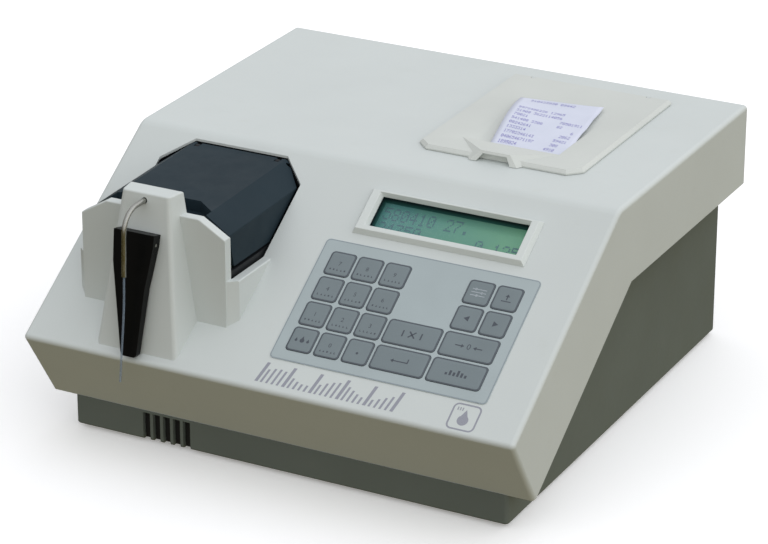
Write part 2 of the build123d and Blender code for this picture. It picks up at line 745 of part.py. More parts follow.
def measuring_hood():
    shell = hood_envelope()
    inner = hood_prism(HOOD_WALL, HOOD_FRONT_FOOT + HOOD_WALL, HOOD_REAR + 20)
    inner -= prism_z(hood_notch_plan(HOOD_WALL), HOOD_TOP - NOTCH_DEPTH - HOOD_WALL, HOOD_TOP)
    shell -= inner
    shell -= prism_z(hood_notch_plan(0), HOOD_TOP - NOTCH_DEPTH, HOOD_TOP + 5)
    y, z = HOOD_PIN
    reach = hood_ear_span()[0] - EAR_GAP
    shell += rod_x(KNUCKLE_RADIUS, BAY_X - reach, BAY_X + reach, y, z)
    for side in (-1, 1):
        middle = BAY_X + side * (reach + EAR_GAP + HINGE_EAR / 2)
        half = HINGE_EAR / 2 + EAR_GAP
        shell -= block((middle - half, y - 3.2, z - 6), (middle + half, HOOD_REAR + 5, HOOD_TOP + 5))
    return shell - rod_x(HOOD_PIN_RADIUS + RUNNING_CLEARANCE, BAY_X - 60, BAY_X + 60, y, z)


def hood_hinge_pin():
    reach = hood_ear_span()[1]
    return rod_x(HOOD_PIN_RADIUS, BAY_X - reach, BAY_X + reach, *HOOD_PIN)


def chamber_tray():
    outer = block((BAY_X - TRAY_HALF, TRAY_FRONT, TRAY_FLOOR), (BAY_X + TRAY_HALF, TRAY_REAR, TRAY_TOP))
    tray = outer - block((BAY_X - TRAY_HALF + TRAY_WALL, TRAY_FRONT + TRAY_WALL, TRAY_FLOOR + TRAY_WALL),
                         (BAY_X + TRAY_HALF - TRAY_WALL, TRAY_REAR - TRAY_WALL, TRAY_TOP + 1))
    y, z = HOOD_PIN
    inner, outer_reach = hood_ear_span()
    for side in (-1, 1):
        low, high = sorted((BAY_X + side * inner, BAY_X + side * outer_reach))
        post = block((low, y - KNUCKLE_RADIUS, TRAY_FLOOR + 1), (high, TRAY_REAR - TRAY_WALL + 0.4, z))
        tray += post - block((low - 1, y + KNUCKLE_RADIUS, TRAY_TOP), (high + 1, TRAY_REAR + 1, z + 1))
        tray += rod_x(KNUCKLE_RADIUS, low, high, y, z)
    return tray - rod_x(HOOD_PIN_RADIUS, BAY_X - 60, BAY_X + 60, y, z)


def cell_holder():
    floor = TRAY_FLOOR + TRAY_WALL
    y, z = BEAM
    half = CELL_SIZE / 2 + 3
    holder = block((CELL_X - half, y - half, floor), (CELL_X + half, y + half, z + 14))
    pocket = block((CELL_X - CELL_SIZE / 2, y - CELL_SIZE / 2, floor + 6),
                   (CELL_X + CELL_SIZE / 2, y + CELL_SIZE / 2, z + 20))
    return holder - pocket - rod_x(2.5, CELL_X - half - 1, CELL_X + half + 1, y, z)


def flow_cell():
    y, z = BEAM
    low = TRAY_FLOOR + TRAY_WALL + 6
    cell = block((CELL_X - CELL_SIZE / 2, y - CELL_SIZE / 2, low),
                 (CELL_X + CELL_SIZE / 2, y + CELL_SIZE / 2, z + 18))
    for offset_y in (-3, 3):
        cell += rod_z(1.5, z + 17, z + 24, CELL_X, y + offset_y)
    return cell


def lamp():
    y, z = BEAM
    right = WHEEL_X - WHEEL_THICK / 2 - 2
    housing = rod_x(7.0, right - 20, right - 6, y, z)
    lens = rod_x(4.5, right - 6, right, y, z)
    foot = block((right - 18, y - 4, TRAY_FLOOR + TRAY_WALL), (right - 8, y + 4, z))
    return housing + lens + foot


def wheel_centre():
    return BEAM[0] + WHEEL_OFFSET, BEAM[1]


def filter_places():
    y, z = wheel_centre()
    turns = [radians(360 * n / FILTER_COUNT + 180) for n in range(FILTER_COUNT)]
    return [(y + WHEEL_OFFSET * cos(a), z + WHEEL_OFFSET * sin(a)) for a in turns]


def filter_wheel():
    y, z = wheel_centre()
    wheel = rod_x(WHEEL_RADIUS, WHEEL_X - WHEEL_THICK / 2, WHEEL_X + WHEEL_THICK / 2, y, z)
    for fy, fz in filter_places():
        wheel -= rod_x(FILTER_RADIUS, WHEEL_X - 5, WHEEL_X + 5, fy, fz)
    return wheel + rod_x(WHEEL_SHAFT_RADIUS, WHEEL_X - 16, WHEEL_X + 4, y, z)


def filter_set():
    return [rod_x(FILTER_RADIUS, WHEEL_X - 1.2, WHEEL_X + 1.2, fy, fz) for fy, fz in filter_places()]


def filter_motor():
    y, z = wheel_centre()
    right = WHEEL_X - WHEEL_THICK / 2 - 2
    motor = rod_x(9.0, right - 18, right, y, z)
    foot = block((right - 16, y - 5, TRAY_FLOOR + TRAY_WALL), (right - 4, y + 5, z))
    bore = rod_x(WHEEL_SHAFT_RADIUS + RUNNING_CLEARANCE, right - 13, right + 1, y, z)
    return motor + foot - bore


def detector_board():
    y, z = BEAM
    x = CELL_X + 19
    board = block((x, y - 14, TRAY_FLOOR + TRAY_WALL), (x + BOARD_THICK, y + 14, z + 14))
    diode = rod_x(4.0, x - 5, x + 0.5, y, z)
    return board + diode


# ================================================================ sipper
def lever_turn(shape, angle):
    """Turn a shape given in tower-face coordinates about the lever's pin."""
    t, h = LEVER_PIN
    return Pos(0, t, h) * Rot(angle, 0, 0) * Pos(0, -t, -h) * shape


def sipper_lever():
    """The lever, shaped where it lies when it is pressed and then turned out to its rest place."""
    wedge = extrude(make_face(Polyline(*LEVER_OUTLINE, close=True)), amount=20)
    slope = [
        (LEVER_BOTTOM - 1, LEVER_BACK),
        (LEVER_TOP + 1, LEVER_BACK),
        (LEVER_TOP + 1, LEVER_BACK + LEVER_THICK_TOP),
        (LEVER_BOTTOM - 1, LEVER_BACK + LEVER_THICK_BOTTOM),
    ]
    wedge &= prism_x(slope, -120, -70)
    wedge -= block((LUG_X[0] - 0.5, 63.5, -1), (LUG_X[1] + 0.5, 76.4, 7.0))
    t, h = LEVER_PIN
    wedge -= rod_x(LEVER_PIN_RADIUS + RUNNING_CLEARANCE, -120, -70, t, h)
    wedge -= TOWER_FACE.to_local_coords(PANEL * slab((-120, -30, -70, 30), -30, LEVER_CLEARANCE))
    return TOWER_FACE * lever_turn(wedge, -LEVER_TRAVEL)


def lever_pin():
    return TOWER_FACE * rod_x(LEVER_PIN_RADIUS, -104.0, -79.6, *LEVER_PIN)


def plunger_tip():
    """Height above the tower face of the lever's back at the switch, at rest."""
    lever_arm = LEVER_PIN[0] - SWITCH_T
    return LEVER_BACK + lever_arm * tan(radians(LEVER_TRAVEL)) - PLUNGER_GAP


def sipper_switch():
    case = block((BAY_X - 8, SWITCH_T - 5.5, -14.0), (BAY_X + 8, SWITCH_T + 5.5, -4.2))
    bore = Pos(BAY_X, SWITCH_T, -9) * Cylinder(PLUNGER_RADIUS + RUNNING_CLEARANCE, 12)
    return TOWER_FACE * (case - bore)


def switch_plunger():
    tip = plunger_tip()
    stem = Pos(BAY_X, SWITCH_T, (tip - 10) / 2) * Cylinder(PLUNGER_RADIUS, tip + 10)
    return TOWER_FACE * fillet(stem.faces().sort_by(Axis.Z)[-1].edges(), 0.4)


def sipper_tube():
    path = FilletPolyline(*TUBE_PATH, radius=TUBE_BEND)
    start = Plane(origin=TUBE_PATH[0], z_dir=(0, -1, 0))
    outside = sweep(start * Circle(TUBE_RADIUS), path=path)
    inside = sweep(start * Circle(TUBE_BORE), path=path)
    return outside - inside


def corner_radii(points):
    """The arc radius for each inner point of a cord's route."""
    radii = []
    for before, point, after in zip(points, points[1:], points[2:]):
        first = Vector(*point) - Vector(*before)
        second = Vector(*after) - Vector(*point)
        run = min(first.length, second.length)
        radii.append(0.45 * run / tan(radians(first.get_angle(second)) / 2))
    return radii


def sipper_capillary():
    radii = corner_radii(CAPILLARY_ROUTE)
    print("capillary radii", [round(r, 1) for r in radii])
    path = FilletPolyline(*CAPILLARY_ROUTE, radius=radii)
    first = Vector(*CAPILLARY_ROUTE[1]) - Vector(*CAPILLARY_ROUTE[0])
    start = Plane(origin=CAPILLARY_ROUTE[0], z_dir=first.normalized())
    tube = sweep(start * Circle(CAPILLARY_RADIUS), path=path)
    ratio = tube.volume / (path.length * pi * CAPILLARY_RADIUS ** 2)
    print("capillary length", round(path.length, 2), "volume ratio", round(ratio, 4))
    return tube


# ================================================================ sample pump
def pump_housing():
    x, y, z = PUMP
    rear = y + PUMP_DEPTH
    head = rod_y(PUMP_RADIUS, y, rear, x, z) - rod_y(PUMP_TRACK, y - 1, rear - 3, x, z)
    leg = block((x - 16, y, WALL), (x + 16, rear, z)) - rod_y(PUMP_RADIUS - 1, y - 1, rear + 1, x, z)
    return head + leg - rod_y(PUMP_SHAFT_RADIUS + RUNNING_CLEARANCE, y - 1, rear + 1, x, z)


def pump_rotor():
    x, y, z = PUMP
    rotor = rod_y(6.0, y + 2, y + 14, x, z)
    rotor += rod_y(PUMP_SHAFT_RADIUS, y + 10, y + PUMP_DEPTH + 12, x, z)
    for number in range(PUMP_ROLLERS):
        step = 360 / PUMP_ROLLERS * number
        turn = radians(step + 90)
        roller_x = x + PUMP_ROLLER_ORBIT * cos(turn)
        roller_z = z + PUMP_ROLLER_ORBIT * sin(turn)
        arm = block((-3, y + 2, 0), (3, y + 4, PUMP_ROLLER_ORBIT))
        rotor += Pos(x, 0, z) * Rot(0, step, 0) * arm
        rotor += rod_y(PUMP_ROLLER_RADIUS, y + 2, y + 14, roller_x, roller_z)
    return rotor


def pump_motor():
    x, y, z = PUMP
    front = y + PUMP_DEPTH
    motor = rod_y(PUMP_MOTOR_RADIUS, front, front + PUMP_MOTOR_LENGTH, x, z)
    return motor - rod_y(PUMP_SHAFT_RADIUS + RUNNING_CLEARANCE, front - 1, front + 14, x, z)


# ================================================================ printer
def cover_plan(inset=0.0):
    x_low, x_high = COVER_X[0] + inset, COVER_X[1] - inset
    y_low, y_high = COVER_Y[0] + inset, COVER_Y[1]
    cut_x, cut_y = COVER_CHAMFER
    return [
        (x_low + cut_x, y_low), (x_high - cut_x, y_low), (x_high, y_low + cut_y),
        (x_high, y_high), (x_low, y_high), (x_low, y_low + cut_y),
    ]


def cover_snout():
    """The raised grip in front of the paper pocket."""
    low = CASE_TOP + COVER_GAP
    flat = low + COVER_THICK
    lip = flat + SNOUT_RISE
    corners = {
        "foot_left": (COVER_MID - SNOUT_FOOT_HALF, SNOUT_FOOT_Y, low),
        "foot_right": (COVER_MID + SNOUT_FOOT_HALF, SNOUT_FOOT_Y, low),
        "lip_left": (COVER_MID - SNOUT_LIP_HALF, SNOUT_LIP_Y, lip),
        "lip_right": (COVER_MID + SNOUT_LIP_HALF, SNOUT_LIP_Y, lip),
        "rear_left": (COVER_MID - POCKET_HALF, POCKET_FRONT, flat + 0.15),
        "rear_right": (COVER_MID + POCKET_HALF, POCKET_FRONT, flat + 0.15),
        "low_left": (COVER_MID - POCKET_HALF, POCKET_FRONT, low),
        "low_right": (COVER_MID + POCKET_HALF, POCKET_FRONT, low),
    }
    faces = [
        ("foot_left", "low_left", "low_right", "foot_right"),
        ("foot_left", "foot_right", "lip_right", "lip_left"),
        ("lip_left", "lip_right", "rear_right", "rear_left"),
        ("foot_left", "lip_left", "rear_left"),
        ("foot_left", "rear_left", "low_left"),
        ("foot_right", "rear_right", "lip_right"),
        ("foot_right", "low_right", "rear_right"),
        ("low_left", "rear_left", "rear_right", "low_right"),
    ]
    return polyhedron(corners, faces)


def pocket_cut():
    """The sloping paper pocket: deepest at the slot, level with the cover at its rear."""
    flat = CASE_TOP + COVER_GAP + COVER_THICK
    floor = flat - POCKET_DEPTH
    corners = {
        "floor_left": (COVER_MID - POCKET_FLOOR_HALF, POCKET_FRONT, floor),
        "floor_right": (COVER_MID + POCKET_FLOOR_HALF + POCKET_FLOOR_SHIFT, POCKET_FRONT, floor),
        "edge_left": (COVER_MID - POCKET_HALF, POCKET_FRONT, flat),
        "edge_right": (COVER_MID + POCKET_HALF, POCKET_FRONT, flat),
        "rear_left": (COVER_MID - POCKET_HALF, POCKET_REAR, flat),
        "rear_right": (COVER_MID + POCKET_HALF, POCKET_REAR, flat),
    }
    faces = [
        ("floor_left", "floor_right", "edge_right", "edge_left"),
        ("floor_left", "edge_left", "rear_left"),
        ("floor_left", "rear_left", "rear_right", "floor_right"),
        ("floor_right", "rear_right", "edge_right"),
        ("edge_left", "edge_right", "rear_right", "rear_left"),
    ]
    return polyhedron(corners, faces)


def printer_cover():
    low = CASE_TOP + COVER_GAP
    flat = low + COVER_THICK
    plate = prism_z(cover_plan(), low, flat)
    top_rim = [e for e in plate.faces().sort_by(Axis.Z)[-1].edges() if e.center().Y < COVER_Y[1] - 1]
    plate = chamfer(top_rim, COVER_BEVEL)
    trough = [
        (POCKET_FRONT - 6, low + 1),
        (POCKET_FRONT - 4, low - 4.5),
        (POCKET_FRONT + 8, low - 4.5),
        (POCKET_REAR - 10, low + 1),
    ]
    plate += prism_x(trough, COVER_MID - POCKET_HALF + 1, COVER_MID + POCKET_HALF - 1)
    plate += cover_snout()
    plate -= pocket_cut()
    plate -= block((COVER_MID - 26, POCKET_FRONT, low - 10),
                   (COVER_MID + 34, POCKET_FRONT + SLOT_WIDTH, flat - 1))
    grip = make_face(Polyline(
        (COVER_MID - GRIP_FOOT_HALF, low - 1), (COVER_MID + GRIP_FOOT_HALF, low - 1),
        (COVER_MID + GRIP_TOP_HALF, flat + SNOUT_RISE - GRIP_LIP),
        (COVER_MID - GRIP_TOP_HALF, flat + SNOUT_RISE - GRIP_LIP), close=True))
    plate -= Pos(0, SNOUT_FOOT_Y - 1, 0) * extrude(Plane.XZ * grip, amount=-GRIP_DEPTH)
    pin_z = (low + flat) / 2
    half = COVER_EAR_HALF + COVER_GAP
    notch_front = COVER_PIN_Y - COVER_THICK / 2 - COVER_GAP
    for x in (COVER_MID - COVER_EAR_X, COVER_MID + COVER_EAR_X):
        plate -= block((x - half, notch_front, low - 1), (x + half, COVER_Y[1] + 1, flat + 1))
    barrel = [e for e in plate.edges().filter_by(Axis.X) if e.center().Y > COVER_Y[1] - 0.1]
    plate = fillet(barrel, COVER_THICK / 2 - 0.05)
    return plate - rod_x(COVER_PIN_RADIUS + RUNNING_CLEARANCE, COVER_MID - 50, COVER_MID + 50,
                         COVER_PIN_Y, pin_z)


def cover_hinge_pin():
    z = CASE_TOP + COVER_GAP + COVER_THICK / 2
    return rod_x(COVER_PIN_RADIUS, COVER_MID - 48, COVER_MID + 48, COVER_PIN_Y, z)


def printer_frame():
    x_low, x_high = PRINTER_OPENING[0] + 1, PRINTER_OPENING[2] - 1
    y_low, y_high = PRINTER_OPENING[1] + 2, PRINTER_OPENING[3] - 2
    low, high = 110.0, CASE_TOP - WALL
    frame = block((x_low, y_low, low), (x_high, y_high, high))
    frame -= block((x_low + 2, y_low + 2, low + 2), (x_high - 2, y_high - 2, high + 1))
    spindle_low = COVER_MID - ROLL_WIDTH / 2 - 3
    spindle_high = COVER_MID + ROLL_WIDTH / 2 + 3
    y, z = ROLL_CENTRE
    frame += rod_x(CORE_RADIUS - 0.08, spindle_low, spindle_high, y, z)
    for x in (spindle_low, spindle_high):
        frame += block((x - 2, y - 6, low + 1), (x + 2, y + 6, z + 6))
    y, z = PLATEN_CENTRE
    for x in (x_low, x_high - 2):
        frame += block((x, y - 5, low + 1), (x + 2, y + 5, z + 4))
    frame += block((x_low + 5, y - 14, low + 1), (x_high - 5, y - 9, z - 2))
    return frame - rod_x(2.0 + RUNNING_CLEARANCE, x_low - 2, x_high + 2, y, z)


def platen_roller():
    y, z = PLATEN_CENTRE
    x_low, x_high = PRINTER_OPENING[0] + 1, PRINTER_OPENING[2] - 1
    roller = rod_x(PLATEN_RADIUS, x_low + 5, x_high - 5, y, z)
    return roller + rod_x(2.0, x_low, x_high + 12, y, z)


def printer_motor():
    y, z = PLATEN_CENTRE
    left = PRINTER_OPENING[2]
    motor = rod_x(10.0, left, left + 18, y, z)
    return motor - rod_x(2.0 + RUNNING_CLEARANCE, left - 1, left + 13, y, z)


def paper_roll():
    y, z = ROLL_CENTRE
    left, right = COVER_MID - ROLL_WIDTH / 2, COVER_MID + ROLL_WIDTH / 2
    return rod_x(ROLL_RADIUS, left, right, y, z) - rod_x(CORE_RADIUS, left - 1, right + 1, y, z)


def paper_strip():
    """The printed slip: up out of the slot, then rearward over the pocket and the cover."""
    flat = CASE_TOP + COVER_GAP + COVER_THICK
    foot = (POCKET_FRONT + 0.6, flat - PAPER_FOOT)
    bend = (POCKET_FRONT + 0.6, flat - PAPER_BEND_DEPTH)
    rising = Line(foot, bend)
    turn = JernArc(start=bend, tangent=(0, 1), radius=PAPER_BEND, arc_size=-PAPER_BEND_TURN)
    lying = Line(turn @ 1, turn @ 1 + (turn % 1) * PAPER_RUN)
    sagging = JernArc(start=lying @ 1, tangent=lying % 1, radius=PAPER_SAG, arc_size=-PAPER_SAG_TURN)
    ribbon = trace(rising + turn + lying + sagging, line_width=PAPER_THICK)
    left = COVER_MID + PAPER_SHIFT - PAPER_WIDTH / 2
    return Pos(left, 0, 0) * extrude(Plane.YZ * ribbon, amount=PAPER_WIDTH)


# ================================================================ electronics and rear fittings
def main_board():
    x_low, y_low, x_high, y_high = BOARD_BOX
    board = block((x_low, y_low, BOARD_HEIGHT), (x_high, y_high, BOARD_HEIGHT + BOARD_THICK))
    for x in (x_low + 6, x_high - 6):
        for y in (y_low + 6, y_high - 6):
            board += rod_z(3.0, WALL, BOARD_HEIGHT + 0.5, x, y)
    foot = BOARD_HEIGHT + 1
    for x, y, width, depth, height in BOARD_PARTS.values():
        low = (x - width / 2, y - depth / 2, foot)
        high = (x + width / 2, y + depth / 2, foot + height)
        board += block(low, high)
    return board


def power_inlet():
    x, z = INLET_CENTRE
    flange = block((x - INLET_FLANGE[0] / 2, CASE_DEPTH, z - INLET_FLANGE[1] / 2),
                   (x + INLET_FLANGE[0] / 2, CASE_DEPTH + FLANGE_THICK, z + INLET_FLANGE[1] / 2))
    flange = fillet(flange.edges().filter_by(Axis.Y), 3.0)
    flange = fillet(flange.faces().sort_by(Axis.Y)[-1].edges(), 0.8)
    body = block((x - INLET_BODY[0] / 2 + 0.2, CASE_DEPTH - 26, z - INLET_BODY[1] / 2 + 0.2),
                 (x + INLET_BODY[0] / 2 - 0.2, CASE_DEPTH + 0.5, z + INLET_BODY[1] / 2 - 0.2))
    rear = CASE_DEPTH + FLANGE_THICK
    half_w, half_h = SOCKET_SIZE[0] / 2, SOCKET_SIZE[1] / 2
    mouth = [
        (SOCKET_X - half_w, z - half_h), (SOCKET_X + half_w, z - half_h),
        (SOCKET_X + half_w, z + half_h - 5), (SOCKET_X + half_w - 5, z + half_h),
        (SOCKET_X - half_w + 5, z + half_h), (SOCKET_X - half_w, z + half_h - 5),
    ]
    socket = extrude(Plane.XZ * make_face(Polyline(*mouth, close=True)), amount=-20)
    housing = flange + body - Pos(0, rear - 18, 0) * socket
    for blade_x, blade_z in ((-7, 1.5), (7, 1.5), (0, 5.0)):
        housing += block((SOCKET_X + blade_x - 1, rear - 19, z + blade_z - 2),
                         (SOCKET_X + blade_x + 1, rear - 3, z + blade_z + 2))
    window = block((ROCKER_X - ROCKER_WINDOW[0] / 2, rear - 12, z - ROCKER_WINDOW[1] / 2),
                   (ROCKER_X + ROCKER_WINDOW[0] / 2, rear + 1, z + ROCKER_WINDOW[1] / 2))
    housing -= window
    for side in (-1, 1):
        near, far = sorted((ROCKER_X + side * 9.5, ROCKER_X + side * 12))
        housing += rod_x(1.2, near, far, rear - 4, z)
    return housing


def power_rocker():
    z = INLET_CENTRE[1]
    rear = CASE_DEPTH + FLANGE_THICK
    half_h = ROCKER_WINDOW[1] / 2 - 0.9
    outline = [
        (rear - 8.0, z - 4.0), (rear - 8.0, z + 4.0), (rear - 0.6, z + half_h),
        (rear + 1.4, z + half_h - 0.2), (rear + 0.4, z), (rear + 1.4, z - half_h + 0.2),
        (rear - 0.6, z - half_h),
    ]
    width = ROCKER_WINDOW[0] / 2 - 0.4
    rocker = prism_x(outline, ROCKER_X - width, ROCKER_X + width)
    rocker -= rod_x(1.2 + RUNNING_CLEARANCE, ROCKER_X - 20, ROCKER_X + 20, rear - 4, z)
    return Pos(0, rear - 4, z) * Rot(ROCKER_TILT, 0, 0) * Pos(0, -(rear - 4), -z) * rocker


def serial_port():
    x, z = PORT_CENTRE
    plate = block((x - 15.5, CASE_DEPTH, z - 6.3), (x + 15.5, CASE_DEPTH + 1.0, z + 6.3))
    plate = fillet(plate.edges().filter_by(Axis.Y), 1.5)
    shell = [(x - 8.2, z - 4), (x + 8.2, z - 4), (x + 9.2, z + 4), (x - 9.2, z + 4)]
    nose = extrude(Plane.XZ * make_face(Polyline(*shell, close=True)), amount=-5.5)
    port = plate + Pos(0, CASE_DEPTH + 0.5, 0) * nose
    body = block((x - 9.5, CASE_DEPTH - 10, z - 5.5), (x + 9.5, CASE_DEPTH + 0.5, z + 5.5))
    for side in (-1, 1):
        port += rod_y(2.4, CASE_DEPTH + 0.5, CASE_DEPTH + 5.5, x + side * 12.5, z)
    return port + body


def waste_nozzle():
    x, z = NOZZLE_CENTRE
    rear = CASE_DEPTH
    nozzle = rod_y(7.0, rear, rear + 2.0, x, z) + rod_y(3.9, rear - 8, rear + 1, x, z)
    nozzle += rod_y(2.2, rear + 1, rear + NOZZLE_REACH, x, z)
    barb = Pos(x, rear + NOZZLE_REACH - 2, z) * Rot(90, 0, 0) * Cone(3.0, 2.2, 4.0)
    return nozzle + barb - rod_y(1.4, rear - 9, rear + NOZZLE_REACH + 1, x, z)


# ================================================================ export
def in_object_frame(shape):
    return Pos(0, -ORIGIN_Y, FOOT_HEIGHT) * shape


def export(name, piece):
    groups = piece if isinstance(piece, list) else [piece]
    solids = [in_object_frame(solid) for group in groups for solid in group.solids()]
    shape = solids[0] if len(solids) == 1 else Compound(children=solids)
    export_step(shape, f"parts/{name}.step")


PIECES = [
    upper_casing, lower_casing, casing_screws, rubber_feet,
    keypad_foil, keypad_board, display_bezel, display_window, lcd_module,
    measuring_hood, hood_hinge_pin, chamber_tray, cell_holder, flow_cell, lamp,
    filter_wheel, filter_set, filter_motor, detector_board,
    sipper_lever, lever_pin, sipper_switch, switch_plunger, sipper_tube, sipper_capillary,
    pump_housing, pump_rotor, pump_motor,
    printer_cover, cover_hinge_pin, printer_frame, platen_roller, printer_motor,
    paper_roll, paper_strip,
    main_board, power_inlet, power_rocker, serial_port, waste_nozzle,
]

for piece in PIECES:
    export(piece.__name__, piece())
for name, (column, row, span) in KEYS.items():
    export(name, key(column, row, span))
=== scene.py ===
import json
import math
import random

import bmesh
import bpy
from mathutils import Matrix, Vector


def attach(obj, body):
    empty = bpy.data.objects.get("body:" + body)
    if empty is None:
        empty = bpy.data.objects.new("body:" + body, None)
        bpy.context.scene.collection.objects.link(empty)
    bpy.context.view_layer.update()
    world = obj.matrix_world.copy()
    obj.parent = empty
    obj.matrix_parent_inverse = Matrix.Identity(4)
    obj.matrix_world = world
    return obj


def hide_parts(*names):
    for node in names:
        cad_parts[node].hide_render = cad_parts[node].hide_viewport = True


# Looks for the bench-top photometer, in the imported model's frame: x to the operator's right, the nose
# faces -y, z up from the surface the feet stand on. Places in that frame are in metres. What is drawn on
# the panel, or from the case's nose, is in millimetres and is scaled by MM as it is placed.

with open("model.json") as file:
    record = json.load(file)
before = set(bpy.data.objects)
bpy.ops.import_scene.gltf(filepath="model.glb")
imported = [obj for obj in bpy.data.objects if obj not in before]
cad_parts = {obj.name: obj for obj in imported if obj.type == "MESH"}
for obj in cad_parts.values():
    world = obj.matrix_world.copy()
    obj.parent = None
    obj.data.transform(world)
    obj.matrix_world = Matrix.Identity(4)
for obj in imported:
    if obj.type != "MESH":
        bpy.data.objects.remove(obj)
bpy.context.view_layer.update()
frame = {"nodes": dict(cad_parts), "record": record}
nodes = frame["nodes"]
node_slot = {row["node"]: row["material_slot"] for row in frame["record"]["subparts"]}
chance = random.Random(20)

MM = 0.001


# ================================================================ camera
CAMERA_PLACE = (0.9062, -1.74965, 0.9305)
CAMERA_AZIMUTH = math.radians(27.66)
CAMERA_ELEVATION = math.radians(23.36)
CAMERA_LENS = 154.6
CAMERA_SENSOR = 36.0
CAMERA_SHIFT = (0.0026, 0.0039)


def make_camera():
    data = bpy.data.cameras.new("camera")
    data.lens = CAMERA_LENS
    data.sensor_width = CAMERA_SENSOR
    data.shift_x, data.shift_y = CAMERA_SHIFT
    camera = bpy.data.objects.new("camera", data)
    bpy.context.scene.collection.objects.link(camera)
    level = math.cos(CAMERA_ELEVATION)
    back = Vector((
        math.sin(CAMERA_AZIMUTH) * level,
        -math.cos(CAMERA_AZIMUTH) * level,
        math.sin(CAMERA_ELEVATION),
    ))
    camera.location = CAMERA_PLACE
    camera.rotation_mode = "QUATERNION"
    camera.rotation_quaternion = (-back).to_track_quat("-Z", "Y")
    bpy.context.scene.camera = camera


# ================================================================ shared placing
PANEL_FOOT = Vector((0, -0.18175, 0.0727))             # middle of the nose edge
PANEL_TILT = math.atan2(96.8, 148.4)
# Panel coordinates: x to the right, s up the slope from the nose, h outward, drawn in millimetres.
PANEL = Matrix.Translation(PANEL_FOOT) @ Matrix.Rotation(PANEL_TILT, 4, "X")
CASE_SHIFT = Vector((0, -181.75, 3.0))     # from the case's nose to the frame's origin, in millimetres
PICTURE_BOX = (17.3, 129.3, 120.6, 154.6)  # the display's picture, as low x, low s, high x, high s


def finished(mesh, name):
    """The mesh data of a drawn bmesh, which is then let go."""
    data = bpy.data.meshes.new(name)
    mesh.to_mesh(data)
    mesh.free()
    return data


def add_piece(name, data, body, looks, smooth=False, place=None):
    """A new object made of a mesh or a curve, riding on a body of the frame."""
    for look in looks:
        data.materials.append(look)
    piece = bpy.data.objects.new(name, data)
    bpy.context.scene.collection.objects.link(piece)
    if place:
        piece.matrix_world = place
    if smooth:
        for polygon in data.polygons:
            polygon.use_smooth = True
    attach(piece, body)
    return piece


# ================================================================ capillary
CAPILLARY_ROUTE = [
    (-0.0927, -0.18365, 0.1300),
    (-0.0926, -0.18445, 0.1150),
    (-0.0928, -0.18605, 0.0990),
    (-0.0932, -0.18825, 0.0815),
    (-0.0939, -0.19005, 0.0615),
]
CAPILLARY_DIAMETER = 0.0014


def make_capillary(look):
    """The clear intake capillary that hangs from the steel tube, free at its lower end."""
    curve = bpy.data.curves.new("capillary", "CURVE")
    curve.dimensions = "3D"
    line = curve.splines.new("NURBS")
    line.points.add(len(CAPILLARY_ROUTE) - 1)
    for point, place in zip(line.points, CAPILLARY_ROUTE):
        point.co = (*place, 1.0)
    line.order_u = 3
    line.use_endpoint_u = True
    curve.resolution_u = 16
    curve.bevel_depth = CAPILLARY_DIAMETER / 2
    curve.bevel_resolution = 4
    curve.use_fill_caps = True
    piece = add_piece("capillary", curve, "case", [look])
    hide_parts("sipper_capillary")


# ================================================================ materials
def srgb(red, green, blue):
    """A linear colour with alpha from 0 to 255 display values."""
    def linear(value):
        share = value / 255
        return share / 12.92 if share <= 0.04045 else ((share + 0.055) / 1.055) ** 2.4
    return (linear(red), linear(green), linear(blue), 1.0)


def shade(colour, factor):
    return (colour[0] * factor, colour[1] * factor, colour[2] * factor, 1.0)


def colour_middle(first, second):
    return tuple((a + b) / 2 for a, b in zip(first, second))


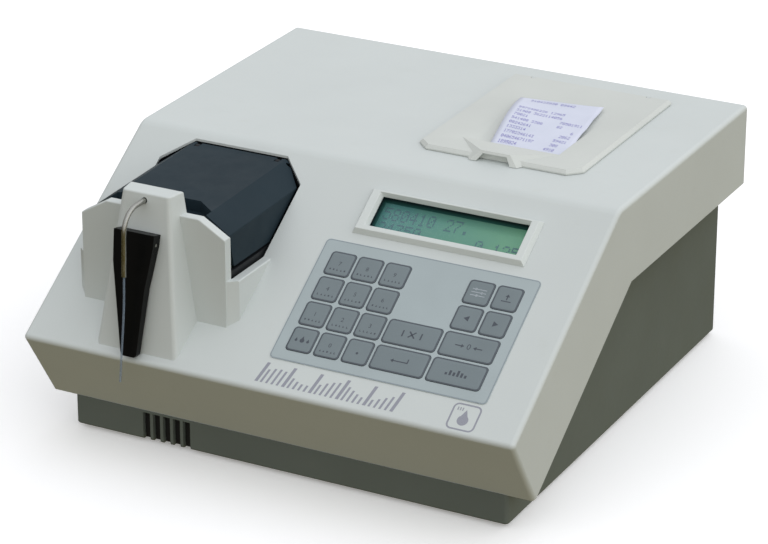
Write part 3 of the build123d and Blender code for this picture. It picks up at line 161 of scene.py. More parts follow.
class Look:
    """A material under construction, with short calls for the nodes it is made of."""

    def __init__(self, name, **values):
        self.material = bpy.data.materials.new(name)
        self.material.use_nodes = True
        self.tree = self.material.node_tree
        self.shader = self.tree.nodes["Principled BSDF"]
        for socket, value in values.items():
            self.shader.inputs[socket.replace("_", " ")].default_value = value
        self.place = self.node("ShaderNodeTexCoord").outputs["Object"]

    def node(self, kind, **settings):
        made = self.tree.nodes.new(kind)
        for name, value in settings.items():
            setattr(made, name, value)
        return made

    def feed(self, node, socket, value):
        """Link an output to a socket, or set a plain value on it."""
        if isinstance(value, bpy.types.NodeSocket):
            self.tree.links.new(value, node.inputs[socket])
        else:
            node.inputs[socket].default_value = value

    def stretched(self, scale):
        mapping = self.node("ShaderNodeMapping")
        self.feed(mapping, "Vector", self.place)
        self.feed(mapping, "Scale", scale)
        return mapping.outputs[0]

    def noise(self, scale, detail=3.0, roughness=0.55, place=None):
        made = self.node("ShaderNodeTexNoise")
        self.feed(made, "Vector", place or self.place)
        self.feed(made, "Scale", scale)
        self.feed(made, "Detail", detail)
        self.feed(made, "Roughness", roughness)
        return made.outputs["Fac"]

    def cells(self, scale, place):
        made = self.node("ShaderNodeTexVoronoi")
        self.feed(made, "Vector", place)
        self.feed(made, "Scale", scale)
        return made.outputs["Distance"]

    def spread(self, value, low, high, from_low=0.3, from_high=0.7):
        """Rescale a value to run from low to high; most of a noise lies between 0.3 and 0.7."""
        made = self.node("ShaderNodeMapRange")
        self.feed(made, "Value", value)
        for socket, number in (("From Min", from_low), ("From Max", from_high),
                               ("To Min", low), ("To Max", high)):
            self.feed(made, socket, number)
        return made.outputs[0]

    def math(self, operation, first, second):
        made = self.node("ShaderNodeMath", operation=operation)
        self.feed(made, 0, first)
        self.feed(made, 1, second)
        return made.outputs[0]

    def mix(self, share, first, second):
        made = self.node("ShaderNodeMix", data_type="RGBA")
        self.feed(made, 0, share)
        self.feed(made, 6, first)
        self.feed(made, 7, second)
        return made.outputs[2]

    def axes(self):
        made = self.node("ShaderNodeSeparateXYZ")
        self.feed(made, 0, self.place)
        return made.outputs

    def colour(self, value):
        self.feed(self.shader, "Base Color", value)

    def rough(self, value):
        self.feed(self.shader, "Roughness", value)

    def bump(self, height, depth):
        """Raise the surface by depth metres where height is 1."""
        made = self.node("ShaderNodeBump")
        self.feed(made, "Height", height)
        self.feed(made, "Distance", depth)
        self.feed(made, "Strength", 1.0)
        self.feed(self.shader, "Normal", made.outputs[0])


# Scales of the noise that textures are made of, in cells to the metre.
GRAIN_SCALE = 1500.0
MOTTLE_SCALE = 14.0
GRIME_SCALE = 45.0
FILM_SPECKLE_SCALE = 5200.0
FILM_CLOUD_SCALE = 22.0
STEEL_LINE_SCALE = 2400.0
STEEL_STAIN_SCALE = 90.0
TURNING_SCALE = 1800.0
DUST_SCALE = 900.0
TRACK_SCALE = 260.0
RUBBER_GRAIN_SCALE = 1100.0
RUBBER_DUST_SCALE = 60.0
FIBRE_SCALE = 1300.0
PAPER_CLOUD_SCALE = 30.0
INK_SCALE = 2600.0
GLOW_PATCH_SCALE = 60.0
FLOOR_CLOUD_SCALE = 3.0

# How deep their relief is.
GRAIN_DEPTH = 0.02 * MM
FINE_GRAIN_DEPTH = 0.01 * MM
FILM_DEPTH = 0.006 * MM
STEEL_DEPTH = 0.004 * MM
TRACK_DEPTH = 0.03 * MM
RUBBER_DEPTH = 0.03 * MM

# How much each axis is drawn out in a texture that runs one way.
ALONG_TUBE = (1.0, 1.0, 0.03)
ROUND_SHAFT = (0.05, 1.0, 1.0)
ALONG_TRACKS = (1.0, 0.35, 1.0)


def moulded(name, colour, rough, grain_depth=GRAIN_DEPTH, mottle=0.05, tint=None, **values):
    """Injection-moulded plastic: fine spark-eroded grain, faint mottling and handling marks."""
    look = Look(name, **values)
    broad = look.noise(MOTTLE_SCALE, detail=2.0)
    fine = look.noise(GRAIN_SCALE, detail=2.0)
    marks = look.noise(GRIME_SCALE, detail=6.0, roughness=0.7)
    dark, light = shade(colour, 1 - mottle), shade(colour, 1 + mottle / 2)
    base = look.mix(look.spread(broad, 0.0, 1.0), dark, light)
    worn = tint or shade(colour, 0.8)
    base = look.mix(look.spread(marks, 0.0, 0.28, 0.6, 0.85), base, worn)
    base = look.mix(look.spread(fine, 0.0, 0.08, 0.55, 0.75), base, shade(colour, 0.7))
    look.colour(base)
    look.rough(look.spread(marks, rough - 0.05, rough + 0.08))
    look.bump(fine, grain_depth)
    return look.material


def film(name, colour, rough):
    """Printed polyester film: a very fine speckle under a satin surface."""
    look = Look(name, Coat_Weight=0.15, Coat_Roughness=0.3)
    speckle = look.noise(FILM_SPECKLE_SCALE, detail=1.0)
    broad = look.noise(FILM_CLOUD_SCALE, detail=2.0)
    base = look.mix(look.spread(broad, 0.0, 1.0), shade(colour, 0.95), shade(colour, 1.04))
    base = look.mix(look.spread(speckle, 0.0, 0.2, 0.5, 0.7), base, shade(colour, 0.78))
    look.colour(base)
    look.rough(look.spread(speckle, rough - 0.04, rough + 0.06))
    look.bump(speckle, FILM_DEPTH)
    return look.material


def drawn_steel(name, colour, rough):
    """Bright drawn tube: fine lines along it and a few dull stains."""
    look = Look(name, Metallic=1.0)
    lines = look.noise(STEEL_LINE_SCALE, detail=3.0, place=look.stretched(ALONG_TUBE))
    stain = look.noise(STEEL_STAIN_SCALE, detail=5.0)
    base = look.mix(look.spread(lines, 0.0, 1.0), shade(colour, 0.82), shade(colour, 1.1))
    base = look.mix(look.spread(stain, 0.0, 0.15, 0.55, 0.8), base, shade(colour, 0.6))
    look.colour(base)
    look.rough(look.spread(lines, rough - 0.06, rough + 0.1))
    look.bump(lines, STEEL_DEPTH)
    return look.material


def turned_metal(name, colour, rough):
    """Metal with the fine rings that a lathe leaves."""
    look = Look(name, Metallic=1.0)
    rings = look.noise(TURNING_SCALE, detail=2.0, place=look.stretched(ROUND_SHAFT))
    look.colour(look.mix(look.spread(rings, 0.0, 1.0), shade(colour, 0.85), shade(colour, 1.08)))
    look.rough(look.spread(rings, rough - 0.05, rough + 0.08))
    look.bump(rings, FINE_GRAIN_DEPTH)
    return look.material


def clear(name, colour, alpha, rough, haze=0.8):
    """A clear film or sheet that lets light through without bending it; haze darkens its dust."""
    look = Look(name, Alpha=alpha, IOR=1.45)
    dust = look.noise(DUST_SCALE, detail=4.0, roughness=0.7)
    look.colour(look.mix(look.spread(dust, 0.0, 0.4, 0.6, 0.8), colour, shade(colour, haze)))
    look.rough(look.spread(dust, rough, rough + 0.12))
    return look.material


def circuit_board(name):
    """Green solder mask with the copper tracks showing through it."""
    look = Look(name)
    mask = srgb(34, 88, 58)
    trace = srgb(58, 120, 78)
    tracks = look.cells(TRACK_SCALE, place=look.stretched(ALONG_TRACKS))
    look.colour(look.mix(look.spread(tracks, 0.0, 1.0, 0.35, 0.4), mask, trace))
    look.rough(look.spread(tracks, 0.35, 0.5))
    look.bump(tracks, TRACK_DEPTH)
    return look.material


def black_rubber(name):
    """Matt rubber with grey dust in patches."""
    look = Look(name)
    grain = look.noise(RUBBER_GRAIN_SCALE, detail=4.0)
    dust = look.noise(RUBBER_DUST_SCALE, detail=6.0)
    base = look.mix(look.spread(dust, 0.0, 0.5, 0.5, 0.8), srgb(26, 27, 27), srgb(58, 57, 54))
    look.colour(base)
    look.rough(look.spread(grain, 0.72, 0.9))
    look.bump(grain, RUBBER_DEPTH)
    return look.material


def thermal_paper(name):
    """Smooth coated paper, faintly blue, with its fibres just showing."""
    look = Look(name)
    fibres = look.noise(FIBRE_SCALE, detail=5.0, roughness=0.7)
    cloud = look.noise(PAPER_CLOUD_SCALE, detail=3.0)
    base = look.mix(look.spread(cloud, 0.0, 1.0), srgb(207, 212, 227), srgb(216, 220, 235))
    look.colour(look.mix(look.spread(fibres, 0.0, 0.2, 0.55, 0.8), base, srgb(196, 200, 218)))
    look.rough(look.spread(fibres, 0.55, 0.7))
    look.bump(fibres, FINE_GRAIN_DEPTH)
    return look.material


def ink(name, colour, rough=0.5):
    """Printed ink: slightly uneven cover over what it is printed on."""
    look = Look(name)
    cover = look.noise(INK_SCALE, detail=3.0)
    look.colour(look.mix(look.spread(cover, 0.0, 1.0, 0.35, 0.75), colour, shade(colour, 1.35)))
    look.rough(look.spread(cover, rough - 0.08, rough + 0.1))
    return look.material


GLOW_TOP_SHADE = 7.5 * MM          # how far the frame's shadow reaches down from the picture's top
GLOW_SIDE_SHADE = 5.0 * MM         # and in from its left side
GLOW_STRENGTH = 0.62
LIT_DEPTH = 7.0 * MM               # below the panel's surface, where the painted light from the picture is full on its frame
DARK_DEPTH = 1.5 * MM              # and where that painted light has faded out, leaving the frame dark


def backlit_display(name, left, right, box):
    """A backlit picture, greener to the right, with a painted shadow of its frame along its upper edge
    and left side, in both its colour and its glow.
    """
    look = Look(name, Roughness=0.35)
    x_low, s_low, x_high, s_high = [value * MM for value in box]
    x, s = look.axes()[0], look.axes()[1]
    patch = look.noise(GLOW_PATCH_SCALE, detail=3.0)
    share = look.math("ADD", look.spread(x, 0.0, 1.0, x_low, x_high), look.spread(patch, -0.12, 0.12))
    colour = look.mix(share, left, right)
    edge = look.math("SUBTRACT", s_high, s)
    side = look.math("SUBTRACT", x, x_low)
    # Painted shadow: the picture darkens towards its top and left edges, where the frame would shade it.
    dark = look.math("MULTIPLY", look.spread(edge, 0.6, 1.0, 0.0, GLOW_TOP_SHADE),
                     look.spread(side, 0.6, 1.0, 0.0, GLOW_SIDE_SHADE))
    shaded = look.mix(dark, shade(left, 0.12), colour)
    look.colour(look.mix(0.5, shaded, shade(colour_middle(left, right), 0.5)))
    look.feed(look.shader, "Emission Color", shaded)
    look.shader.inputs["Emission Strength"].default_value = GLOW_STRENGTH
    return look.material


def display_surround(name, dark, lit):
    """The display's frame, dark at the panel's surface, with painted light from the picture in its
    colour towards its foot.
    """
    look = Look(name, Roughness=0.6, Specular_IOR_Level=0.1)
    outward = PANEL.to_3x3() @ Vector((0, 0, 1))
    axes = look.axes()
    level = look.math("ADD", look.math("MULTIPLY", axes[1], outward.y),
                      look.math("MULTIPLY", axes[2], outward.z))
    surface = PANEL_FOOT.dot(outward)
    grain = look.noise(GRAIN_SCALE, detail=2.0)
    # Painted light: the frame's colour turns from dark to lit with depth, towards the glowing picture.
    share = look.spread(level, 1.0, 0.0, surface - LIT_DEPTH, surface - DARK_DEPTH)
    base = look.mix(share, dark, lit)
    look.colour(look.mix(look.spread(grain, 0.0, 0.15), base, shade(dark, 0.8)))
    look.bump(grain, FINE_GRAIN_DEPTH)
    return look.material


CASING_COLOUR = srgb(204, 210, 208)
BASE_COLOUR = srgb(100, 108, 103)
TRIM_COLOUR = srgb(204, 208, 203)
BEZEL_COLOUR = srgb(211, 217, 214)
BLACK_COLOUR = srgb(24, 27, 30)
HOOD_COLOUR = srgb(38, 50, 57)
LEVER_COLOUR = srgb(5, 6, 7)
FOIL_COLOUR = srgb(168, 180, 182)
KEY_COLOUR = srgb(116, 128, 132)
KEY_LINE_COLOUR = srgb(74, 81, 88)
LEGEND_COLOUR = srgb(66, 72, 80)
MARK_COLOUR = srgb(140, 142, 152)
PRINT_COLOUR = srgb(112, 106, 176)

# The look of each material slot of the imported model.
LOOKS = {
    "casing": moulded("casing_plastic", CASING_COLOUR, 0.5, mottle=0.02, tint=srgb(192, 195, 186)),
    "base_grey": moulded("base_plastic", BASE_COLOUR, 0.55, tint=srgb(120, 120, 108)),
    "trim": moulded("trim_plastic", TRIM_COLOUR, 0.45, grain_depth=FINE_GRAIN_DEPTH),
    "black_plastic": moulded("black_moulding", BLACK_COLOUR, 0.5, mottle=0.15, tint=srgb(40, 43, 46),
                             Specular_IOR_Level=0.3),
    "foil": film("front_foil", FOIL_COLOUR, 0.42),
    "key_film": film("key_film", KEY_COLOUR, 0.36),
    "window": clear("display_window", srgb(225, 240, 232), 0.06, 0.12),
    "steel": drawn_steel("tube_steel", srgb(164, 164, 159), 0.25),
    "capillary": clear("capillary_tube", srgb(136, 152, 170), 0.45, 0.2, haze=0.95),
    "optic": clear("optical_glass", srgb(205, 222, 236), 0.35, 0.05),
    "motor_metal": turned_metal("turned_metal", srgb(176, 176, 174), 0.35),
    "board": circuit_board("circuit_board"),
    "rubber": black_rubber("black_rubber"),
    "paper": thermal_paper("thermal_paper"),
}

# Nodes with a look of their own in place of their slot's.
OWN_LOOKS = {
    "measuring_hood": moulded("hood_moulding", HOOD_COLOUR, 0.5, mottle=0.1, tint=srgb(40, 53, 61),
                              Specular_IOR_Level=0.1, Specular_Tint=(0.62, 0.85, 1.0, 1.0)),
    "sipper_lever": moulded("lever_moulding", LEVER_COLOUR, 0.34, mottle=0.1, tint=srgb(10, 11, 11),
                            Specular_IOR_Level=0.14),
    "display_bezel": moulded("bezel_plastic", BEZEL_COLOUR, 0.42, grain_depth=FINE_GRAIN_DEPTH,
                             mottle=0.02),
    # The display's frame, with painted light from the picture towards its foot.
    "lcd_module": display_surround("display_surround", srgb(22, 36, 40), srgb(58, 112, 106)),
}

# The looks of pieces that only this script makes.
LINE_LOOK = ink("key_outline", KEY_LINE_COLOUR, 0.4)
LEGEND_LOOK = ink("key_legend", LEGEND_COLOUR)
LIGHT_LEGEND_LOOK = ink("key_light_legend", srgb(160, 168, 174))
# Painted shade: a darker grey band along the keypad foil's raised edge.
FOIL_EDGE_SHADE_LOOK = ink("foil_edge_shade", srgb(132, 142, 148))
MARK_LOOK = ink("panel_print", MARK_COLOUR)
PICTURE_LOOK = backlit_display("display_glow", srgb(50, 106, 108), srgb(84, 136, 106), PICTURE_BOX)
DOTS_LOOK = ink("display_dot", srgb(62, 98, 110))
PRINT_LOOK = ink("slip_ink", PRINT_COLOUR)
# Painted shade: a near-black sheet that keeps the vent slots dark.
VENT_SHADE_LOOK = film("vent_shade_sheet", srgb(14, 15, 15), 0.8)
# Painted shade: a near-black moulding for the dark gap behind the hood.
GAP_SHADE_LOOK = moulded("bay_gap_shade", srgb(10, 12, 14), 0.7, Specular_IOR_Level=0.05)


def dress_nodes():
    """Give each CAD node its look, and soften the edges of the larger moulded pieces."""
    for name, node in nodes.items():
        node.data.materials.clear()
        node.data.materials.append(OWN_LOOKS.get(name) or LOOKS[node_slot[name]])
        if name in EDGE_SOFTNESS:
            soften(node, EDGE_SOFTNESS[name])


# ================================================================ softened edges
EDGE_SOFTNESS = {
    "measuring_hood": 0.9 * MM,
    "sipper_lever": 0.6 * MM,
    "display_bezel": 0.35 * MM,
    "printer_cover": 0.3 * MM,
}
WELD_GAP = 0.01 * MM
ROUNDING_STEPS = 3
SHARP_ANGLE = math.radians(25)     # edges that turn by more than this are rounded


def soften(node, width):
    """Round a moulded piece's sharp edges so that they catch the light."""
    weld = node.modifiers.new("weld", "WELD")
    weld.merge_threshold = WELD_GAP
    bevel = node.modifiers.new("bevel", "BEVEL")
    bevel.width = width
    bevel.segments = ROUNDING_STEPS
    bevel.limit_method = "ANGLE"
    bevel.angle_limit = SHARP_ANGLE
    node.modifiers.new("normals", "WEIGHTED_NORMAL")


# ================================================================ drawing
def rounded_box(x_low, s_low, x_high, s_high, radius, steps=5):
    """The outline of a rounded rectangle, as (x, s) points."""
    corners = [
        (x_high - radius, s_high - radius),
        (x_low + radius, s_high - radius),
        (x_low + radius, s_low + radius),
        (x_high - radius, s_low + radius),
    ]
    points = []
    for quarter, (x, s) in enumerate(corners):
        for step in range(steps + 1):
            turn = math.radians(90 * (quarter + step / steps))
            points.append((x + radius * math.cos(turn), s + radius * math.sin(turn)))
    return points


def on_panel(height):
    """Places drawn (x, s) points at a height over the panel, in panel coordinates."""
    return lambda x, s: Vector((x, s, height)) * MM


class Drawing:
    """Flat shapes drawn in millimetres on the surface that place(x, s) describes."""

    def __init__(self, place):
        self.mesh = bmesh.new()
        self.place = place

    def shape(self, points):
        self.mesh.faces.new([self.mesh.verts.new(self.place(*point)) for point in points])

    def bar(self, x, s, width, height, slant=0.0):
        """A bar with its lower left corner at (x, s)."""
        lean = slant * height
        self.shape([(x, s), (x + width, s), (x + width + lean, s + height), (x + lean, s + height)])

    def stroke(self, start, end, width):
        first, last = Vector(start), Vector(end)
        run = last - first
        side = Vector((-run.y, run.x)).normalized() * (width / 2)
        self.shape([first - side, last - side, last + side, first + side])

    def disc(self, x, s, radius, steps=16):
        turns = [2 * math.pi * n / steps for n in range(steps)]
        self.shape([(x + radius * math.cos(a), s + radius * math.sin(a)) for a in turns])

    def band(self, outer, inner):
        """The band between two outlines with the same number of points."""
        count = len(outer)
        for n in range(count):
            after = (n + 1) % count
            self.shape([outer[n], outer[after], inner[after], inner[n]])

    def numeral(self, text, x, s, size):
        mesh = numeral_mesh(text, size)
        corners = [self.mesh.verts.new(self.place(x + v.co.x, s + v.co.y)) for v in mesh.vertices]
        for polygon in mesh.polygons:
            self.mesh.faces.new([corners[n] for n in polygon.vertices])

    def dots(self, sign, x, s, pitch, size):
        """A dot-matrix sign with its top left corner at (x, s)."""
        for row, line in enumerate(SIGNS[sign].split()):
            for column, mark in enumerate(line):
                if mark == "#":
                    self.bar(x + column * pitch[0], s - (row + 1) * pitch[1], *size)

    def finish(self, name):
        return finished(self.mesh, name)


def numeral_mesh(text, size):
    """The flat mesh of a numeral about its own middle."""
    curve = bpy.data.curves.new("numeral", "FONT")
    curve.body = text
    curve.size = size
    curve.align_x = "CENTER"
    curve.align_y = "CENTER"
    curve.resolution_u = 3
    holder = bpy.data.objects.new("numeral", curve)
    bpy.context.scene.collection.objects.link(holder)
    bpy.context.view_layer.update()
    mesh = bpy.data.meshes.new_from_object(holder)
    bpy.data.objects.remove(holder)
    return mesh


# Dot-matrix numerals, five dots wide and seven high, row by row from the top.
SIGNS = {
    "0": ".###. #...# #..## #.#.# ##..# #...# .###.",
    "1": "..#.. .##.. ..#.. ..#.. ..#.. ..#.. .###.",
    "2": ".###. #...# ....# ...#. ..#.. .#... #####",
    "3": "##### ...#. ..#.. ...#. ....# #...# .###.",
    "4": "...#. ..##. .#.#. #..#. ##### ...#. ...#.",
    "5": "##### #.... ####. ....# ....# #...# .###.",
    "6": "..##. .#... #.... ####. #...# #...# .###.",
    "7": "##### ....# ...#. ..#.. .#... .#... .#...",
    "8": ".###. #...# #...# .###. #...# #...# .###.",
    "9": ".###. #...# #...# .#### ....# ...#. .##..",
    ".": "..... ..... ..... ..... ..... .##.. .##..",
    " ": "..... ..... ..... ..... ..... ..... .....",
}


# ================================================================ keys
KEY_COLUMN = 19.1
KEY_ROW = 19.4
KEY_LEFT = 2.6
KEY_TOP_S = 108.3
KEY_GAP = 1.8
KEY_ROUND = 2.5
KEY_ROUND_LOSS = 0.6               # how much smaller a corner's radius gets for each inset of 1
KEY_LEAST_ROUND = 0.8
# Rings of a key from its root up: (inset from its edge, height over the panel).
KEY_RINGS = [(0.0, -2.0), (0.0, 0.62), (0.14, 0.84), (0.4, 0.92), (1.05, 0.94), (1.5, 0.97), (2.6, 1.1)]
KEY_LINE_RINGS = (1, 2, 3)         # the rings whose band up to the next carries the dark outline
LEGEND_HEIGHT = 1.13
NUMERAL_SIZE = 4.2
SMALL_MARKS = 5                    # how many tiny marks stand under a numeral
SMALL_MARK_LEFT = -5.4
SMALL_MARK_FOOT = -5.3
SMALL_MARK_PITCH = 2.5
SIGN_SIZE = 1.35                   # enlargement of the function keys' signs
SIGN_LINE = 0.55                   # width of their lines

# node name: (first column, row, columns wide)
KEYS = {
    "key_7": (0, 0, 1), "key_8": (1, 0, 1), "key_9": (2, 0, 1),
    "key_4": (0, 1, 1), "key_5": (1, 1, 1), "key_6": (2, 1, 1),
    "key_1": (0, 2, 1), "key_2": (1, 2, 1), "key_3": (2, 2, 1),
    "key_wash": (0, 3, 1), "key_0": (1, 3, 1), "key_point": (2, 3, 1),
    "key_mode": (5, 0, 1), "key_line_feed": (6, 0, 1),
    "key_left": (5, 1, 1), "key_right": (6, 1, 1),
    "key_break": (3, 2, 2), "key_zero": (5, 2, 2),
    "key_enter": (3, 3, 2), "key_result": (5, 3, 2),
}


def key_box(column, row, span):
    x = KEY_LEFT + KEY_COLUMN * column + KEY_GAP / 2
    s = KEY_TOP_S - KEY_ROW * (row + 1) + KEY_GAP / 2
    return x, s, x + KEY_COLUMN * span - KEY_GAP, s + KEY_ROW - KEY_GAP


def on_key(x, s, size):
    """Places points drawn about a key's middle on its crown, enlarged by size."""
    return lambda across, up: Vector((x + across * size, s + up * size, LEGEND_HEIGHT)) * MM


def key_mesh(name, box):
    """A pillowed key of embossed film with a dark printed outline round its top."""
    x_low, s_low, x_high, s_high = box
    mesh = bmesh.new()
    rings = []
    for inset, height in KEY_RINGS:
        radius = max(KEY_ROUND - inset * KEY_ROUND_LOSS, KEY_LEAST_ROUND)
        outline = rounded_box(x_low + inset, s_low + inset, x_high - inset, s_high - inset, radius)
        rings.append([mesh.verts.new(on_panel(height)(*point)) for point in outline])
    for number, (low, high) in enumerate(zip(rings, rings[1:])):
        for n in range(len(low)):
            after = (n + 1) % len(low)
            face = mesh.faces.new((low[n], low[after], high[after], high[n]))
            face.material_index = 1 if number in KEY_LINE_RINGS else 0
            face.smooth = number > 0
    mesh.faces.new(reversed(rings[0]))
    mesh.faces.new(rings[-1])
    return finished(mesh, name)


def arrow(draw, x, s, reach):
    """A small arrow whose tip is at (x, s) and whose tail is reach behind it."""
    head = math.copysign(1.5, reach)
    draw.stroke((x - reach, s), (x - head * 0.8, s), SIGN_LINE)
    draw.shape([(x, s), (x - head, s + 1.0), (x - head, s - 1.0)])


def draw_droplet(draw, x, s, size):
    """A droplet that points up, drawn about its round belly."""
    steps = 18
    points = []
    for n in range(steps):
        turn = math.radians(-235 + 290 * n / (steps - 1))
        points.append((x + size * math.cos(turn), s + size * math.sin(turn)))
    points.append((x, s + size * 2.1))
    draw.shape(points)


# The function keys' signs, each drawn in millimetres about its key's middle.
def draw_enter(draw):
    arrow(draw, -4.6, -0.4, -8.5)
    draw.stroke((3.9, -0.67), (3.9, 1.7), SIGN_LINE)


def draw_stop(draw):
    for side in (-1, 1):
        draw.stroke((-1.6, -1.6 * side), (1.6, 1.6 * side), 0.7)
    for offset in (-4.6, 4.6):
        draw.bar(offset - 0.35, -1.7, 0.7, 3.4)


def draw_zero(draw):
    draw.numeral("0", 0, 0, NUMERAL_SIZE)
    arrow(draw, -2.2, 0, 4.5)
    arrow(draw, 2.2, 0, -4.5)


def draw_result(draw):
    for number, height in enumerate((1.2, 2.6, 1.9, 3.2, 2.3, 1.5)):
        draw.bar(-5.4 + number * 1.9, -1.6, 1.1, height)


def draw_wash(draw):
    draw_droplet(draw, 0, -0.5, 1.15)
    for offset in (-3.0, 3.0):
        draw_droplet(draw, offset, -0.7, 0.7)


def draw_mode(draw):
    for number, knob in enumerate((-1.8, 1.6, -0.4)):
        level = 1.7 - number * 1.7
        draw.stroke((-3.6, level), (3.6, level), 0.35)
        draw.disc(knob, level, 0.62)


def draw_line_feed(draw):
    draw.stroke((0, -0.9), (0, 1.0), SIGN_LINE)
    draw.shape([(-1.1, 0.8), (1.1, 0.8), (0, 2.3)])
    draw.bar(-2.4, -1.9, 4.8, 0.5)


def draw_left(draw):
    draw.shape([(-1.5, 0), (1.1, -1.5), (1.1, 1.5)])


def draw_right(draw):
    draw.shape([(1.5, 0), (-1.1, 1.5), (-1.1, -1.5)])


def draw_point(draw):
    draw.disc(0, -0.8, 0.62)


FUNCTION_SIGNS = {
    "key_enter": draw_enter, "key_break": draw_stop, "key_zero": draw_zero, "key_result": draw_result,
    "key_wash": draw_wash, "key_mode": draw_mode, "key_line_feed": draw_line_feed,
    "key_left": draw_left, "key_right": draw_right, "key_point": draw_point,
}
LIGHT_SIGNS = ("key_mode",)        # the keys whose sign is printed in a light ink


def draw_small_marks(draw):
    """Tiny marks in a row under a key's numeral, each a bar with a foot, a wedge or a square."""
    s = SMALL_MARK_FOOT
    for number in range(SMALL_MARKS):
        left = SMALL_MARK_LEFT + number * SMALL_MARK_PITCH
        kind = chance.choice(("bar", "wedge", "square"))
        if kind == "bar":
            draw.bar(left, s, 0.45, 1.4)
            draw.bar(left + 0.45, s, 0.55, 0.4)
        elif kind == "wedge":
            draw.shape([(left, s), (left + 1.2, s), (left + 0.6, s + 1.4)])
        else:
            draw.bar(left, s + 0.1, 1.0, 1.2)


def make_keys():
    """A cap of embossed film over each key, and the sign printed on it."""
    for name, (column, row, span) in KEYS.items():
        box = key_box(column, row, span)
        cap = add_piece(name + "_cap", key_mesh(name, box), name,
                        [LOOKS["key_film"], LINE_LOOK], place=PANEL)
        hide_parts(name)
        x, s = (box[0] + box[2]) / 2, (box[1] + box[3]) / 2
        if name in FUNCTION_SIGNS:
            draw = Drawing(on_key(x, s, SIGN_SIZE))
            FUNCTION_SIGNS[name](draw)
        else:
            draw = Drawing(on_key(x, s, 1.0))
            draw.numeral(name[-1], 0, 0, NUMERAL_SIZE)
            draw_small_marks(draw)
        look = LIGHT_LEGEND_LOOK if name in LIGHT_SIGNS else LEGEND_LOOK
        legend = name + "_legend"
        add_piece(legend, draw.finish(legend), name, [look], place=PANEL)


# ================================================================ painted shade behind the hood
BAY_MIDDLE = -92.0
# The rear edge of the measuring bay, from left to right: (x from the bay's middle, y from the nose).
BAY_EDGE = [(-52.0, 121.0), (-52.0, 126.5), (-34.0, 142.4), (34.0, 142.4), (52.0, 126.5), (52.0, 121.0)]
GAP_SHADE_INSETS = (0.15, 0.75)         # its outer and inner face, from the bay's edge
GAP_SHADE_CREST = 1.2                   # below the panel's surface
GAP_SHADE_FOOT = 8.0


def gap_shade_point(x, y, inset, depth):
    across = BAY_MIDDLE + x - math.copysign(inset, x)
    place = (Vector((across, y - inset, 0)) + CASE_SHIFT) * MM
    place.z = PANEL_FOOT.z + math.tan(PANEL_TILT) * (place.y - PANEL_FOOT.y)
    place.z -= depth * MM / math.cos(PANEL_TILT)
    return place


def make_bay_gap_shade():
    """A black strip just inside the rear edge of the measuring bay: painted shade in the dark gap behind
    the hood.
    """
    mesh = bmesh.new()
    outer, inner = GAP_SHADE_INSETS
    section = [(outer, GAP_SHADE_FOOT), (outer, GAP_SHADE_CREST), (inner, GAP_SHADE_CREST), (inner, GAP_SHADE_FOOT)]
    rings = [[mesh.verts.new(gap_shade_point(x, y, *corner)) for corner in section] for x, y in BAY_EDGE]
    for ring, after in zip(rings, rings[1:]):
        for n in range(len(section)):
            beside = (n + 1) % len(section)
            mesh.faces.new((ring[n], ring[beside], after[beside], after[n]))
    mesh.faces.new(rings[0])
    mesh.faces.new(reversed(rings[-1]))
    bmesh.ops.recalc_face_normals(mesh, faces=mesh.faces)
    add_piece("bay_gap_shade", finished(mesh, "bay_gap_shade"), "case", [GAP_SHADE_LOOK])


# ================================================================ dark sheet of painted shade behind the vents
VENT_COUNT = 5
VENT_LEFT = -103.1
VENT_PITCH = 7.35
VENT_WIDTH = 5.2
SHADE_SHEET_FACE = 34.5                 # its front, from the case's nose
SHADE_SHEET_THICK = 0.5
SHADE_SHEET_MARGIN = 3.0
SHADE_SHEET_FOOT = 3.1
SHADE_SHEET_CREST = 21.0
TONGUE_GAP = 0.1                   # at each side of a tongue
TONGUE_FOOT = 0.2


def make_vent_shade_sheet():
    """A black sheet behind the vents, with a tongue down into each slot: painted shade that keeps the
    slots dark.
    """
    right = VENT_LEFT + (VENT_COUNT - 1) * VENT_PITCH + VENT_WIDTH
    plates = [(VENT_LEFT - SHADE_SHEET_MARGIN, right + SHADE_SHEET_MARGIN, SHADE_SHEET_FOOT, SHADE_SHEET_CREST)]
    for number in range(VENT_COUNT):
        left = VENT_LEFT + number * VENT_PITCH
        plates.append((left + TONGUE_GAP, left + VENT_WIDTH - TONGUE_GAP, TONGUE_FOOT, SHADE_SHEET_FOOT))
    mesh = bmesh.new()
    for x_low, x_high, z_low, z_high in plates:
        size = Vector((x_high - x_low, SHADE_SHEET_THICK, z_high - z_low))
        middle = Vector(((x_low + x_high) / 2, SHADE_SHEET_FACE + SHADE_SHEET_THICK / 2, (z_low + z_high) / 2))
        place = Matrix.Translation((middle + CASE_SHIFT) * MM) @ Matrix.Diagonal((*(size * MM), 1.0))
        bmesh.ops.create_cube(mesh, size=1.0, matrix=place)
    add_piece("vent_shade_sheet", finished(mesh, "vent_shade_sheet"), "case", [VENT_SHADE_LOOK])


